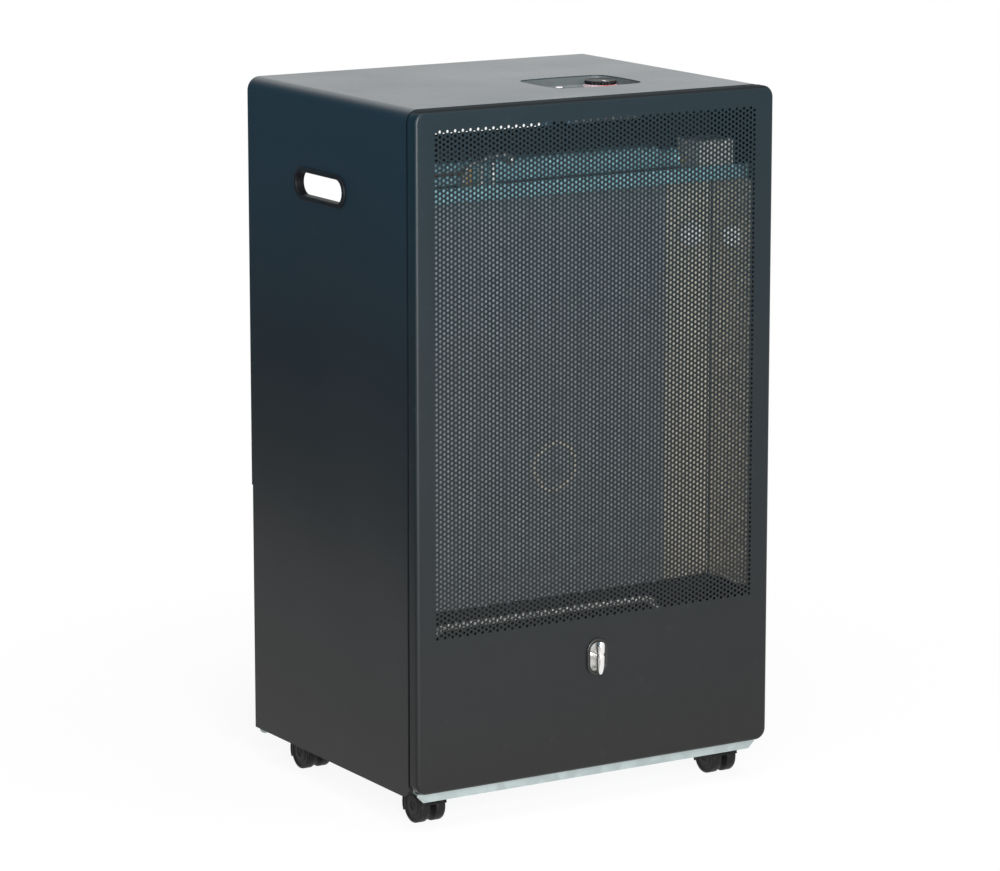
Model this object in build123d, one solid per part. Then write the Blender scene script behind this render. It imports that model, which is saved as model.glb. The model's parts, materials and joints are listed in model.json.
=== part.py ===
from build123d import *
import math
import os

# Portable gas cabinet heater, in millimetres. +Z is up, the perforated front faces -Y.
# The origin is on the floor, under the middle of the whole heater's box.

# ---------------------------------------------------------------- driving dimensions
# Cabinet
cabinet_width = 420.0  # over the painted side sheets
side_depth = 322.0  # side sheets, front edge to the back of the rear frame
top_z = 722.0  # top sheet above the floor
side_bottom_z = 34.0  # lower edge of the side sheets above the floor
sheet = 1.0  # painted and galvanised sheet
bend_radius = 14.0  # long top edges of the wrap-around sheet
toe_radius = 12.0  # rounded lower front corner of each side
return_width = 12.0  # inward flanges of the wrap-around sheet
seat_gap = 0.3  # clearance where curved or hidden pieces seat
moulded_wall = 2.0  # walls of the plastic mouldings
through = 1.0  # how far a cutter runs past the faces that it opens
fitting_sides = 12  # facets round the hidden round fittings

# Front panel
panel_stand = 18.0  # face ahead of the side sheets' front edges
panel_gap = 2.0  # dark gap between the panel's rim and the cabinet
panel_bottom_z = 40.0
panel_corner = 12.0
panel_edge = 4.0  # soft edge between the face and the rim
grille_margin = 22.0  # plain border beside the perforation
grille_top_margin = 18.0
grille_bottom_z = 195.0
hole_pitch = 46.0  # 60 degree stagger, drawn coarser than the punched sheet
open_share = 0.36  # open area of the perforation

# Hinge at the panel's top
hinge_from_side = 90.0
hinge_drop = 4.5  # hinge line below the top sheet
hinge_inset = 2.7  # hinge line ahead of the cabinet's front edge
hinge_pin_radius = 1.0
running_fit = 0.05  # radial clearance of pins and shafts
knuckle_radius = 2.4
knuckle_width = 16.0
lug_thickness = 2.0
lug_half = 2.2

# Quarter-turn latch
latch_z = 156.0
latch_stand = 12.0  # wing ahead of the panel's face
bezel_width = 24.0
bezel_height = 38.0
bezel_rise = 2.5
bezel_bevel = 1.0
bezel_ring = 2.0  # bezel beyond the cup
cup_depth = 8.0
cup_wall = 1.5
oval_sides = 24  # facets round both ends of the small ovals
wing_width = 10.0
wing_height = 35.0
wing_bevel = 2.5
waist_height = 1.2
waist_depth = 0.8
latch_shaft_radius = 4.0
tail_share = 0.65  # half the square tail's width over the shaft's radius
cam_length = 26.0
cam_width = 10.0
cam_thickness = 2.0
cam_eye_rim = 1.0
cam_corner = 3.0
keeper_width = 20.0
keeper_height = 130.0
keeper_clearance = 0.6
keeper_foot = 22.0
keeper_rib_height = 60.0
keeper_rib_foot = 18.0
keeper_offset = 14.0  # keeper's near edge from the latch's middle

# Handle openings in both sides
handle_depth = 171.0  # centre behind the side's front edge
handle_drop = 96.0  # centre below the top sheet
handle_length = 104.0
handle_height = 34.0
handle_rim = 5.0
handle_rise = 2.0
handle_bevel = 1.2
handle_sleeve = 8.0

# Base tray and lugs
tray_top_z = 47.0
apron_ahead = 6.0  # lip ahead of the side sheets' front edges
apron_bottom_z = 29.0
apron_from_side = 7.0
apron_step_z = 39.0
apron_chamfer = 7.0
tray_lug_width = 15.0
tray_lug_bottom_z = 26.0
tray_lug_from_side = 12.0
seat_rise = 2.0  # pressed seat for the gas cylinder
seat_from_side = 66.0
seat_ahead = 20.0  # seat's edge from the partition and from the rear flange
seat_corner = 20.0

# Casters
caster_from_side = 34.0
front_caster_depth = 38.0
rear_caster_depth = 272.0
wheel_radius = 18.0
wheel_width = 11.0
wheel_edge = 1.5
wheel_disc = 2.0  # closed outer disc of a wheel
wheel_sides = 24  # facets round the tread and the fender
caster_trail = 12.0
hood_web = 6.0
hood_sheet = 1.8
hood_clearance = 1.0
hood_nose = 4.0  # fender's front edge above the axle
hood_tail = 11.0  # fender's back edge below the axle
stem_radius = 4.0
stem_boss = 3.0
axle_radius = 3.0
side_play = 0.4
caster_plate_size = 42.0
caster_plate_sheet = 3.0
caster_boss_radius = 8.0
caster_boss_height = 2.5

# Rear frame and removable rear cover
rear_lip = 2.0
rear_lip_width = 12.0
rear_frame_flange = 14.0
rear_frame_bottom_z = 295.0
cover_top_z = 292.0
cover_inset = 3.0
cover_flange = 11.0
cover_corner = 6.0
tongue_width = 24.0
tongue_length = 8.0
tongue_from_side = 100.0
cover_grip_width = 90.0
cover_grip_height = 22.0

# Combustion chamber
partition_depth = 92.0
partition_drop = 40.0
shield_depth = 79.0
shield_from_side = 63.0
shield_bottom_z = 197.0
rib_count = 10
rib_rise = 4.0
rib_flat_share = 0.12  # half of a rib's crest over the rib pitch
rib_foot_share = 0.2
reflector_corner_depth = 88.0
reflector_front_depth = 6.0
reflector_from_side = 4.0
reflector_bend = 3.0
shelf_drop = 99.0
shelf_front_depth = 24.0
shelf_lip = 15.0
baffle_drop = 41.0
baffle_lean = 14.0
baffle_from_side = 60.0
baffle_lap = 4.0  # baffle past the burner's underside and top
guard_from_side = 73.0
guard_top_z = 181.0
guard_corner = 18.0
guard_bead_radius = 2.5
guard_bead_sides = 8

# Burner and pilot
burner_left_from_side = 58.0
burner_right_from_side = 92.0
burner_front_depth = 50.0
burner_size_depth = 27.0
burner_rise = 3.0  # underside above the shelf
burner_height = 32.0
burner_bevel = 3.0
burner_wall = 4.0  # hollow's edge inside the bevelled outline
burner_foot_inset = 30.0
burner_foot_half = 6.0
port_count = 18
port_width = 2.4
port_inset = 6.0
venturi_radius = 11.0
venturi_length = 24.0
venturi_flare = 3.0
venturi_flare_length = 5.0
bracket_from_burner = 34.0
bracket_width = 41.0
bracket_front_depth = 30.0
bracket_back_depth = 72.0
bracket_height = 40.0
injector_rise = 19.0  # injector's line above the shelf
injector_from_bracket = 20.0
injector_half = 8.0
nozzle_radius = 5.0
nozzle_reach = 6.0
orifice_radius = 1.2
socket_wall = 2.5
socket_length = 6.0
socket_overlap = 4.0
pilot_depth = 36.0
pilot_from_burner_end = 33.0
pilot_half = 4.5
pilot_bevel = 1.5
flame_port_radius = 2.5
flame_port_depth = 3.0
pilot_socket_length = 4.5
pilot_socket_wall = 1.5
pilot_socket_overlap = 3.0
post_radius = 2.6
post_rise = 35.0  # post's top above the shelf
post_bottom_rise = 8.0
pilot_table_rise = 13.5
pilot_table_sheet = 1.5
pilot_table_ahead = 6.6
pilot_table_behind = 6.0
pilot_table_side = 8.0
pilot_foot_behind = 9.0
thermocouple_rim = 1.4
thermocouple_collar = 3.0
electrode_rim = 0.9
electrode_collar = 12.0
thermocouple_step = 15.0  # thermocouple from the pilot
electrode_step = 14.0  # electrode from the thermocouple

# Control console in the top sheet
console_x = 59.0
console_depth = 109.0
console_length = 108.0
console_width = 88.0
console_bow = 3.0
console_corner = 10.0
console_well = 11.0
console_flange = 8.0

# Gas valve, knob and igniter
valve_from_console = 28.0
valve_depth = 115.0
valve_width = 40.0
valve_length = 32.0
valve_bevel = 4.0
bonnet_length = 20.0
bonnet_radius = 9.0
inlet_boss_length = 6.0
outlet_boss_length = 5.0
spindle_radius = 4.0
spindle_reach = 4.5  # spindle inside the knob
spindle_root = 11.5
spindle_play = 0.5
knob_radius = 18.5
knob_drop = 0.5  # knob's top below the top sheet
knob_lift = 2.5  # knob's underside above the console floor
knob_press = 2.0
knob_skirt = 2.5
knob_step = 1.5  # grip drawn in from the skirt
knob_bevel = 1.2
knob_sides = 24
flat_depth = 1.2  # flat on the spindle that drives the knob
igniter_from_console = -33.5
igniter_depth = 96.0
igniter_radius = 8.0
igniter_bezel_radius = 11.0
igniter_bezel_rise = 5.0
igniter_bezel_sides = 24
igniter_length = 56.0
igniter_nut_rim = 4.0
igniter_nut_height = 4.0
terminal_length = 4.0
terminal_size = 5.0
button_radius = 5.5
button_drop = 2.0  # button's top below the top sheet
button_root = 10.0  # plunger below the console floor
button_bevel = 1.2
button_press = 4.0

# Control housing under the console
housing_left_of_valve = 46.0
housing_right_of_valve = 36.0
housing_back_depth = 156.0
housing_height = 73.0

# Gas ways and leads
spigot_radius = 4.5
spigot_length = 26.0
spigot_bevel = 1.0
spigot_rise = 20.0  # above the housing's floor
nut_length = 8.0
nut_radius = 9.5
burner_pipe_radius = 4.0
burner_pipe_rise = 14.0
burner_pipe_bend = 16.0
burner_pipe_sides = 8
pilot_pipe_radius = 2.0
pilot_pipe_bend = 14.0
pilot_pipe_sides = 6
lead_radius = 1.1
lead_bend = 7.0
lead_sides = 5
slot_from_side = 44.0
slot_half = 4.0
pilot_lane_rise = 27.0  # lanes above the burner shelf
thermocouple_lane_rise = 44.0
ignition_lane_rise = 50.0
lane_depth = 117.0
hole_clearance = 0.6

# ---------------------------------------------------------------- places from the sizes
half_width = cabinet_width / 2
inner_x = half_width - sheet
total_depth = latch_stand + panel_stand + side_depth
rear_y = total_depth / 2
side_front_y = rear_y - side_depth
face_y = side_front_y - panel_stand
rim_y = side_front_y - panel_gap
cam_front_y = side_front_y + 2 * sheet + keeper_clearance
frame_y = rear_y - rear_lip
cover_y = frame_y - cover_inset
inner_top_z = top_z - sheet
handle_z = top_z - handle_drop
grille_half = half_width - grille_margin
grille_top_z = top_z - grille_top_margin
hinge_x = half_width - hinge_from_side
hinge_y = side_front_y - hinge_inset
hinge_z = top_z - hinge_drop
tray_under_z = tray_top_z - sheet
apron_half_width = half_width - apron_from_side
tray_lug_x = half_width - tray_lug_from_side
tongue_x = half_width - tongue_from_side

console_y = side_front_y + console_depth
console_floor_z = top_z - console_well
console_under_z = console_floor_z - moulded_wall
valve_x = console_x + valve_from_console
valve_y = side_front_y + valve_depth
valve_top_z = console_under_z - bonnet_length
knob_top_z = top_z - knob_drop
knob_bottom_z = console_floor_z + knob_lift
spindle_top_z = knob_bottom_z + spindle_reach
igniter_x = console_x + igniter_from_console
igniter_y = side_front_y + igniter_depth
igniter_bottom_z = console_floor_z - igniter_length
button_top_z = top_z - button_drop
button_bottom_z = console_floor_z - button_root

partition_y = side_front_y + partition_depth
partition_top_z = top_z - partition_drop
baffle_half_width = half_width - baffle_from_side
baffle_top_z = top_z - baffle_drop
shield_half_width = half_width - shield_from_side
guard_half_width = half_width - guard_from_side
shelf_z = top_z - shelf_drop
shelf_top_z = shelf_z + sheet

burner_left_x = burner_left_from_side - half_width
burner_right_x = half_width - burner_right_from_side
burner_bottom_z = shelf_z + burner_rise
burner_top_z = burner_bottom_z + burner_height
burner_middle_y = side_front_y + burner_front_depth + burner_size_depth / 2
bracket_left_x = burner_right_x + bracket_from_burner
bracket_right_x = bracket_left_x + bracket_width
bracket_top_z = shelf_z + bracket_height
injector_x = bracket_left_x + injector_from_bracket
injector_z = shelf_z + injector_rise
socket_end_y = burner_middle_y + injector_half + socket_length
pilot_x = burner_left_x + pilot_from_burner_end
pilot_y = side_front_y + pilot_depth
thermocouple_x = pilot_x + thermocouple_step
electrode_x = thermocouple_x + electrode_step
post_top_z = shelf_z + post_rise

housing_left_x = valve_x - housing_left_of_valve
housing_right_x = valve_x + housing_right_of_valve
housing_front_y = partition_y + sheet + seat_gap
housing_back_y = side_front_y + housing_back_depth
housing_bottom_z = console_under_z - housing_height
spigot_z = housing_bottom_z + spigot_rise
burner_pipe_z = housing_bottom_z + burner_pipe_rise
lane_y = side_front_y + lane_depth
slot_x = slot_from_side - half_width
pilot_lane_z = shelf_z + pilot_lane_rise
thermocouple_lane_z = shelf_z + thermocouple_lane_rise
ignition_lane_z = shelf_z + ignition_lane_rise

axle_half = hood_web / 2 + wheel_width - wheel_disc  # it ends inside the wheels' outer discs
caster_names = ("front_left", "front_right", "rear_left", "rear_right")
caster_places = [
    (side * (half_width - caster_from_side), side_front_y + depth)
    for depth in (front_caster_depth, rear_caster_depth)
    for side in (-1, 1)
]


# ---------------------------------------------------------------- helpers
def block(x0, x1, y0, y1, z0, z1):
    """A box between two opposite corners."""
    middle = Pos((x0 + x1) / 2, (y0 + y1) / 2, (z0 + z1) / 2)
    return middle * Box(x1 - x0, y1 - y0, z1 - z0)


def front_view(sketch, y0, y1):
    """Extrudes a sketch drawn in X and Z from y0 back to y1."""
    return extrude(Plane.XZ.offset(-y1) * sketch, amount=y1 - y0)


def side_view(sketch, x0, x1):
    """Extrudes a sketch drawn in Y and Z from x0 to x1."""
    return extrude(Plane.YZ.offset(x0) * sketch, amount=x1 - x0)


def plan_view(sketch, z0, z1):
    """Extrudes a sketch drawn in X and Y from z0 up to z1."""
    return extrude(Plane.XY.offset(z0) * sketch, amount=z1 - z0)


def rectangle(u0, u1, v0, v1):
    """A flat rectangle between two corners of its own plane."""
    return Pos((u0 + u1) / 2, (v0 + v1) / 2) * Rectangle(u1 - u0, v1 - v0)


def folded(points, radius, thickness=sheet):
    """The cross-section of a folded sheet along a line with rounded bends."""
    return trace(FilletPolyline(*points, radius=radius), line_width=thickness)


def ring(radius, sides=0):
    """A circle, or a polygon with that many sides inside it."""
    return RegularPolygon(radius, sides) if sides else Circle(radius)


def upright(x, y, radius, z0, z1, sides=0):
    """A round or many-sided bar along Z."""
    return plan_view(Pos(x, y) * ring(radius, sides), z0, z1)


def lengthwise(y0, y1, radius, x, z, sides=0):
    """A round or many-sided bar along Y."""
    return front_view(Pos(x, z) * ring(radius, sides), y0, y1)


def crosswise(x0, x1, radius, y, z, sides=0):
    """A round or many-sided bar along X."""
    return side_view(Pos(y, z) * ring(radius, sides), x0, x1)


def oval(length, width, sides=oval_sides):
    """A slot shape with faceted round ends, its length along the first axis."""
    reach = (length - width) / 2
    turn = Rot(0, 0, 180 / sides)
    ends = [Pos(x, 0) * turn * RegularPolygon(width / 2, sides) for x in (-reach, reach)]
    return make_hull(Sketch(ends).edges())


def mirrored(shape):
    """The same shape on the other side of the middle plane."""
    return mirror(shape, about=Plane.YZ)


def pipe(points, bends, radius, sides=0):
    """A tube or lead along straight runs joined by tangent arcs; sides makes it many-sided."""
    path = FilletPolyline(*points, radius=bends)
    start = Plane(origin=path @ 0, z_dir=path % 0)
    return sweep(start * ring(radius, sides), path=path)


def wrap_section(inset, bottom_z, corner):
    """The cabinet's front view, drawn in by inset, with rounded upper corners."""
    shape = rectangle(inset - half_width, half_width - inset, bottom_z, top_z - inset)
    upper = shape.vertices().group_by(Axis.Y)[-1]
    return fillet(upper, corner) if corner > 0 else shape


def bowed_rectangle(length, width, bow, corner):
    """A rectangle with slightly bowed sides and rounded corners."""
    a, b = length / 2 - bow, width / 2 - bow
    sides = [
        ThreePointArc((-a, -b), (0, -b - bow), (a, -b)),
        ThreePointArc((a, -b), (a + bow, 0), (a, b)),
        ThreePointArc((a, b), (0, b + bow), (-a, b)),
        ThreePointArc((-a, b), (-a - bow, 0), (-a, -b)),
    ]
    shape = make_face(sides)
    return fillet(shape.vertices(), corner)


# ---------------------------------------------------------------- cabinet
def cabinet_shell():
    """One sheet folded round the left side, the top and the right side."""
    outer = wrap_section(0, side_bottom_z, bend_radius)
    inner = wrap_section(sheet, side_bottom_z, bend_radius - sheet)
    mouth = wrap_section(return_width, side_bottom_z, 0)
    shell = front_view(outer - inner, side_front_y, frame_y)
    shell += front_view(outer - mouth, side_front_y, side_front_y + sheet)
    shell -= toe_cut()
    shell -= side_view(handle_oval(handle_rim - moulded_wall - seat_gap),
                       -half_width - through, half_width + through)
    opening = Pos(console_x, console_y) * console_outline()
    return shell - plan_view(opening, inner_top_z - through, top_z + through)


def toe_cut():
    """What rounds off the lower front corner of both sides."""
    y, z = side_front_y + toe_radius, side_bottom_z + toe_radius
    corner = rectangle(side_front_y - through, y, side_bottom_z - through, z)
    corner -= Pos(y, z) * Circle(toe_radius)
    return side_view(corner, -half_width - through, half_width + through)


def handle_oval(inset):
    """The handle frame's outline in the side view, drawn in by inset."""
    middle = Pos(side_front_y + handle_depth, handle_z)
    return middle * oval(handle_length - 2 * inset, handle_height - 2 * inset)


def console_outline(growth=0.0):
    """The console's outline about its own middle."""
    return bowed_rectangle(console_length + 2 * growth, console_width + 2 * growth,
                           console_bow, console_corner + growth)


def handle_insert():
    """Moulded frame that lines the left handle opening."""
    hole = handle_oval(handle_rim)
    insert = side_view(handle_oval(0) - hole, -half_width - handle_rise, -half_width)
    front = insert.faces().sort_by(Axis.X)[0]
    insert = chamfer(front.outer_wire().edges(), handle_bevel)
    sleeve = handle_oval(handle_rim - moulded_wall) - hole
    return insert + side_view(sleeve, -half_width, -half_width + handle_sleeve)


def rear_frame():
    """Folded frame that stiffens the open back, down both sides to the rear cover."""
    lip = wrap_section(0, rear_frame_bottom_z, bend_radius)
    lip -= wrap_section(rear_lip_width, rear_frame_bottom_z, bend_radius / 2)
    inset = sheet + seat_gap
    flange = wrap_section(inset, rear_frame_bottom_z, bend_radius - inset)
    flange -= wrap_section(inset + sheet, rear_frame_bottom_z, bend_radius - inset - sheet)
    frame = front_view(lip, frame_y, rear_y)
    return frame + front_view(flange, frame_y - rear_frame_flange, frame_y)


def base_tray():
    """Galvanised tray: floor, stepped front apron, side and rear flanges, rear lugs."""
    half = sheet / 2
    back_y = frame_y - sheet
    front_y = side_front_y + 2 * sheet
    line = [
        (back_y - half, side_bottom_z),
        (back_y - half, tray_top_z - half),
        (front_y, tray_top_z - half),
        (front_y, apron_step_z - half),
        (side_front_y - apron_ahead + half, apron_step_z - half),
        (side_front_y - apron_ahead + half, apron_bottom_z),
    ]
    tray = side_view(folded(line, sheet), -apron_half_width, apron_half_width)
    for side in (-1, 1):
        corner = Pos(side * apron_half_width, 0, apron_bottom_z) * Rot(0, 45, 0)
        size = apron_chamfer * math.sqrt(2)
        tray -= corner * Pos(0, side_front_y, 0) * Box(size, 4 * apron_ahead, size)
    wing_outer = inner_x - seat_gap
    wing_front = side_front_y + toe_radius + sheet
    wing = block(apron_half_width - sheet, wing_outer, wing_front, back_y, tray_under_z, tray_top_z)
    wing += block(wing_outer - sheet, wing_outer, wing_front, back_y, side_bottom_z, tray_top_z)
    tray += [wing, mirrored(wing)]
    for x in (-tray_lug_x, tray_lug_x):
        lug = rectangle(x - tray_lug_width / 2, x + tray_lug_width / 2,
                        tray_lug_bottom_z, tray_under_z)
        lug = fillet(lug.vertices().group_by(Axis.Y)[0], tray_lug_width * 0.4)
        tray += front_view(lug, back_y - sheet, back_y)
    for x in (-tongue_x, tongue_x):
        reach = tongue_width / 2 + hole_clearance
        tray -= block(x - reach, x + reach, cover_y - sheet - hole_clearance,
                      cover_y + hole_clearance, tray_under_z - through, tray_top_z + through)
    return tray + cylinder_seat(0, tray_top_z + seat_rise) - cylinder_seat(sheet, tray_under_z + seat_rise)


def cylinder_seat(inset, high_z):
    """Block with the outline of the raised seat that a gas cylinder stands on."""
    front, back = partition_y + seat_ahead + inset, frame_y - seat_ahead - inset
    half = half_width - seat_from_side - inset
    outline = Pos(0, (front + back) / 2) * RectangleRounded(2 * half, back - front, seat_corner - inset)
    return plan_view(outline, tray_under_z, high_z)


# ---------------------------------------------------------------- rear cover
def rear_cover():
    """Low pressed cover that drops into the tray by two tongues and lifts straight out."""
    y = cover_y
    half = inner_x - 2 * sheet - 3 * seat_gap
    low, high = tray_top_z + seat_gap, cover_top_z
    middle = Pos(0, (low + high) / 2)
    face = middle * RectangleRounded(2 * half, high - low, cover_corner)
    inside = middle * RectangleRounded(2 * (half - sheet), high - low - 2 * sheet,
                                       cover_corner - sheet)
    cover = front_view(face, y - sheet, y) + front_view(face - inside, y - cover_flange, y)
    grip = Pos(0, high - 2 * cover_grip_height) * oval(cover_grip_width, cover_grip_height)
    cover -= front_view(grip, y - sheet - through, y + through)
    for x in (-tongue_x, tongue_x):
        cover += block(x - tongue_width / 2, x + tongue_width / 2, y - sheet, y,
                       low - tongue_length, low + sheet)
    return cover


# ---------------------------------------------------------------- front panel
def panel_block(inset, y_front, y_back):
    """A block with the front panel's outline, drawn in by inset."""
    width = cabinet_width - 2 * inset
    height = top_z - panel_bottom_z - 2 * inset
    middle = Pos(0, (top_z + panel_bottom_z) / 2)
    outline = middle * RectangleRounded(width, height, panel_corner - inset)
    return front_view(outline, y_front, y_back)


def front_panel():
    """Pressed front: face, rim, window for the perforated field, hinge knuckles, latch hole."""
    panel = panel_block(0, face_y, rim_y)
    panel = fillet(panel.faces().sort_by(Axis.Y)[0].edges(), panel_edge)
    hollow = panel_block(sheet, face_y + sheet, rim_y + through)
    panel -= chamfer(hollow.faces().sort_by(Axis.Y)[0].edges(), panel_edge / 2)
    behind = face_y + sheet + through
    panel -= block(-grille_half, grille_half, face_y - through, behind,
                   grille_bottom_z, grille_top_z)
    panel -= front_view(latch_oval(bezel_ring - seat_gap), face_y - through, behind)
    for x in (-hinge_x, hinge_x):
        panel += hinge_knuckle(x - knuckle_width / 2, x + knuckle_width / 2)
    return panel


def hinge_knuckle(left, right):
    """Bored knuckle under the panel's top rim."""
    knuckle = crosswise(left, right, knuckle_radius, hinge_y, hinge_z, fitting_sides)
    knuckle += block(left, right, hinge_y - knuckle_radius, hinge_y, hinge_z, inner_top_z)
    return knuckle - crosswise(left - through, right + through,
                               hinge_pin_radius + running_fit, hinge_y, hinge_z)


def front_grille():
    """The perforated field of the front sheet, with round holes on a 60 degree stagger."""
    row_pitch = hole_pitch * math.sin(math.radians(60))
    hole_radius = hole_pitch * math.sqrt(open_share * math.sin(math.radians(60)) / math.pi)
    middle_z = (grille_bottom_z + grille_top_z) / 2
    rows = int((grille_top_z - grille_bottom_z - 2 * hole_radius) // row_pitch) + 1
    columns = int((2 * grille_half - 2 * hole_radius) // hole_pitch) + 1
    plate = rectangle(-grille_half, grille_half, grille_bottom_z, grille_top_z)
    holes = []
    for row in range(rows):
        z = middle_z + (row - (rows - 1) / 2) * row_pitch
        count = columns - row % 2
        for column in range(count):
            x = (column - (count - 1) / 2) * hole_pitch
            holes.append(Pos(x, z) * RegularPolygon(hole_radius, 6))
    return front_view(plate - holes, face_y, face_y + sheet)


def hinge_lugs():
    """Two pairs of ears on the cabinet's front return, each with the pin fixed across it."""
    pairs = []
    for x in (-hinge_x, hinge_x):
        inside = knuckle_width / 2 + seat_gap
        outside = inside + lug_thickness
        pair = crosswise(x - outside, x + outside, hinge_pin_radius, hinge_y, hinge_z)
        for left in (x - outside, x + inside):
            pair += block(left, left + lug_thickness, hinge_y - lug_half, side_front_y,
                          hinge_z - lug_half, hinge_z + lug_half)
        pairs.append(pair)
    return Compound(pairs)


# ---------------------------------------------------------------- latch
def latch_oval(inset):
    """The bezel's upright oval, drawn in by inset."""
    return Pos(0, latch_z) * Rot(0, 0, 90) * oval(bezel_height - 2 * inset, bezel_width - 2 * inset)


def latch_escutcheon():
    """Oval bezel and cup that the latch turns in."""
    bezel = front_view(latch_oval(0), face_y - bezel_rise, face_y)
    bezel = chamfer(bezel.faces().sort_by(Axis.Y)[0].edges(), bezel_bevel)
    floor_y = face_y + cup_depth
    cup = front_view(latch_oval(bezel_ring), face_y, floor_y)
    hollow = front_view(latch_oval(bezel_ring + cup_wall), face_y - bezel_rise - through,
                        floor_y - cup_wall)
    bore = lengthwise(face_y, floor_y + through, latch_shaft_radius + running_fit, 0, latch_z)
    return bezel + cup - hollow - bore


def latch_knob():
    """Bullet-shaped wing on a round shaft with a square tail for the cam."""
    tip_y, wing_back = face_y - latch_stand, face_y - bezel_rise - seat_gap
    wing = Pos(0, latch_z) * Rot(0, 0, 90) * oval(wing_height, wing_width)
    knob = front_view(wing, tip_y, wing_back)
    knob = chamfer(knob.faces().sort_by(Axis.Y)[0].edges(), wing_bevel)
    knob -= block(-wing_width, wing_width, tip_y - through, tip_y + waist_depth,
                  latch_z - waist_height / 2, latch_z + waist_height / 2)
    knob += lengthwise(wing_back, cam_front_y, latch_shaft_radius, 0, latch_z)
    tail = latch_shaft_radius * tail_share
    return knob + block(-tail, tail, cam_front_y, cam_front_y + cam_thickness + sheet,
                        latch_z - tail, latch_z + tail)


def latch_cam():
    """Flat arm that points down when released and turns behind the keeper."""
    arm = rectangle(-cam_width / 2, cam_width / 2, latch_z - cam_length, latch_z)
    arm = fillet(arm.vertices().group_by(Axis.Y)[0], cam_corner)
    arm += Pos(0, latch_z) * ring(cam_width / 2 + cam_eye_rim, fitting_sides)
    hole = latch_shaft_radius * tail_share + running_fit
    arm -= rectangle(-hole, hole, latch_z - hole, latch_z + hole)
    return front_view(arm, cam_front_y, cam_front_y + cam_thickness)


def latch_keeper():
    """Upright strip on the tray that the latch cam turns behind."""
    y = side_front_y + sheet
    low = tray_top_z + sheet
    left, right = keeper_offset, keeper_offset + keeper_width
    line = [(y + keeper_foot, low - sheet / 2), (y + sheet / 2, low - sheet / 2),
            (y + sheet / 2, tray_top_z + keeper_height)]
    strip = side_view(folded(line, 1.5 * sheet), left, right)
    rib = Polygon((y, low), (y + keeper_rib_foot, low), (y + sheet, low + keeper_rib_height),
                  (y, low + keeper_rib_height), align=None)
    return strip + side_view(rib, left, left + sheet)


# ---------------------------------------------------------------- casters
def wheel_outline(y, radius):
    """Many-sided outline about a caster's axle, in the side view."""
    return Pos(y - caster_trail, wheel_radius) * RegularPolygon(radius, wheel_sides)


def caster_hood(x, y):
    """Twin-wheel caster body: web between the wheels, fender over them, boss and stem."""
    axle_y, axle_z = y - caster_trail, wheel_radius
    inner = wheel_radius + hood_clearance
    outer = inner + hood_sheet
    half = hood_web / 2 + side_play + wheel_width
    reach, top = outer + through, axle_z + outer + through
    keep = Polygon((axle_y - reach, axle_z + hood_nose), (axle_y - reach, top),
                   (axle_y + reach, top), (axle_y + reach, axle_z - hood_tail),
                   (axle_y, axle_z), align=None)
    wheel_space = wheel_outline(y, inner)
    fender = side_view((wheel_outline(y, outer) - wheel_space) & keep, x - half, x + half)
    web = side_view(wheel_outline(y, inner + hood_sheet / 2) & keep, x - hood_web / 2, x + hood_web / 2)
    boss = upright(x, y, stem_radius + stem_boss, axle_z, axle_z + outer, fitting_sides)
    boss -= side_view(wheel_space, x - half, x + half)
    stem = upright(x, y, stem_radius, axle_z + outer - hood_sheet / 2, tray_under_z - seat_gap)
    hood = fender + web + boss + stem
    return hood - crosswise(x - half, x + half, axle_radius, axle_y, axle_z)


def caster_axle(x, y):
    """Steel axle through the web and into both wheels."""
    return crosswise(x - axle_half, x + axle_half, axle_radius, y - caster_trail, wheel_radius)


def caster_wheels(x, y):
    """The pair of wheels, one on each side of the web, closed outside."""
    inside = x + hood_web / 2 + side_play
    wheel = side_view(wheel_outline(y, wheel_radius), inside, inside + wheel_width)
    wheel = chamfer(wheel.faces().sort_by(Axis.X)[-1].edges(), wheel_edge)
    hub_radius = (axle_radius + running_fit) / math.cos(math.pi / fitting_sides)
    wheel -= crosswise(x, x + axle_half + side_play, hub_radius,
                       y - caster_trail, wheel_radius, fitting_sides)
    return Compound([wheel, mirror(wheel, about=Plane.YZ.offset(x))])


def caster_plates():
    """Four mounting plates under the tray, each with a bored boss."""
    plates = []
    low = tray_under_z - caster_plate_sheet
    half = caster_plate_size / 2
    for x, y in caster_places:
        plate = block(x - half, x + half, y - half, y + half, low, tray_under_z)
        plate += upright(x, y, caster_boss_radius, low - caster_boss_height, low, fitting_sides)
        plates.append(plate - upright(x, y, stem_radius + running_fit,
                                      low - caster_boss_height - through, tray_under_z + through))
    return Compound(plates)


# ---------------------------------------------------------------- chamber sheet metal
def partition():
    """Sheet between the chamber and the cylinder bay, with returns along the sides."""
    reach = inner_x - seat_gap
    y = partition_y
    behind = y + sheet + through
    wall = block(-reach, reach, y, y + sheet, tray_top_z, partition_top_z)
    for left in (-reach, reach - sheet):
        wall += block(left, left + sheet, y, y + return_width, tray_top_z, partition_top_z)
    wall -= block(slot_x - slot_half, slot_x + slot_half, y - through, behind,
                  pilot_lane_z - slot_half, ignition_lane_z + slot_half)
    wall -= lengthwise(y - through, behind, burner_pipe_radius + hole_clearance,
                       injector_x, burner_pipe_z, fitting_sides)
    return wall - igniter_notch()


def igniter_notch():
    """Room for the igniter in the sheets below the console."""
    reach = igniter_radius + hole_clearance
    return block(igniter_x - reach, igniter_x + reach, igniter_y - 2 * reach, igniter_y + reach,
                 igniter_bottom_z - hole_clearance, console_under_z)


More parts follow.
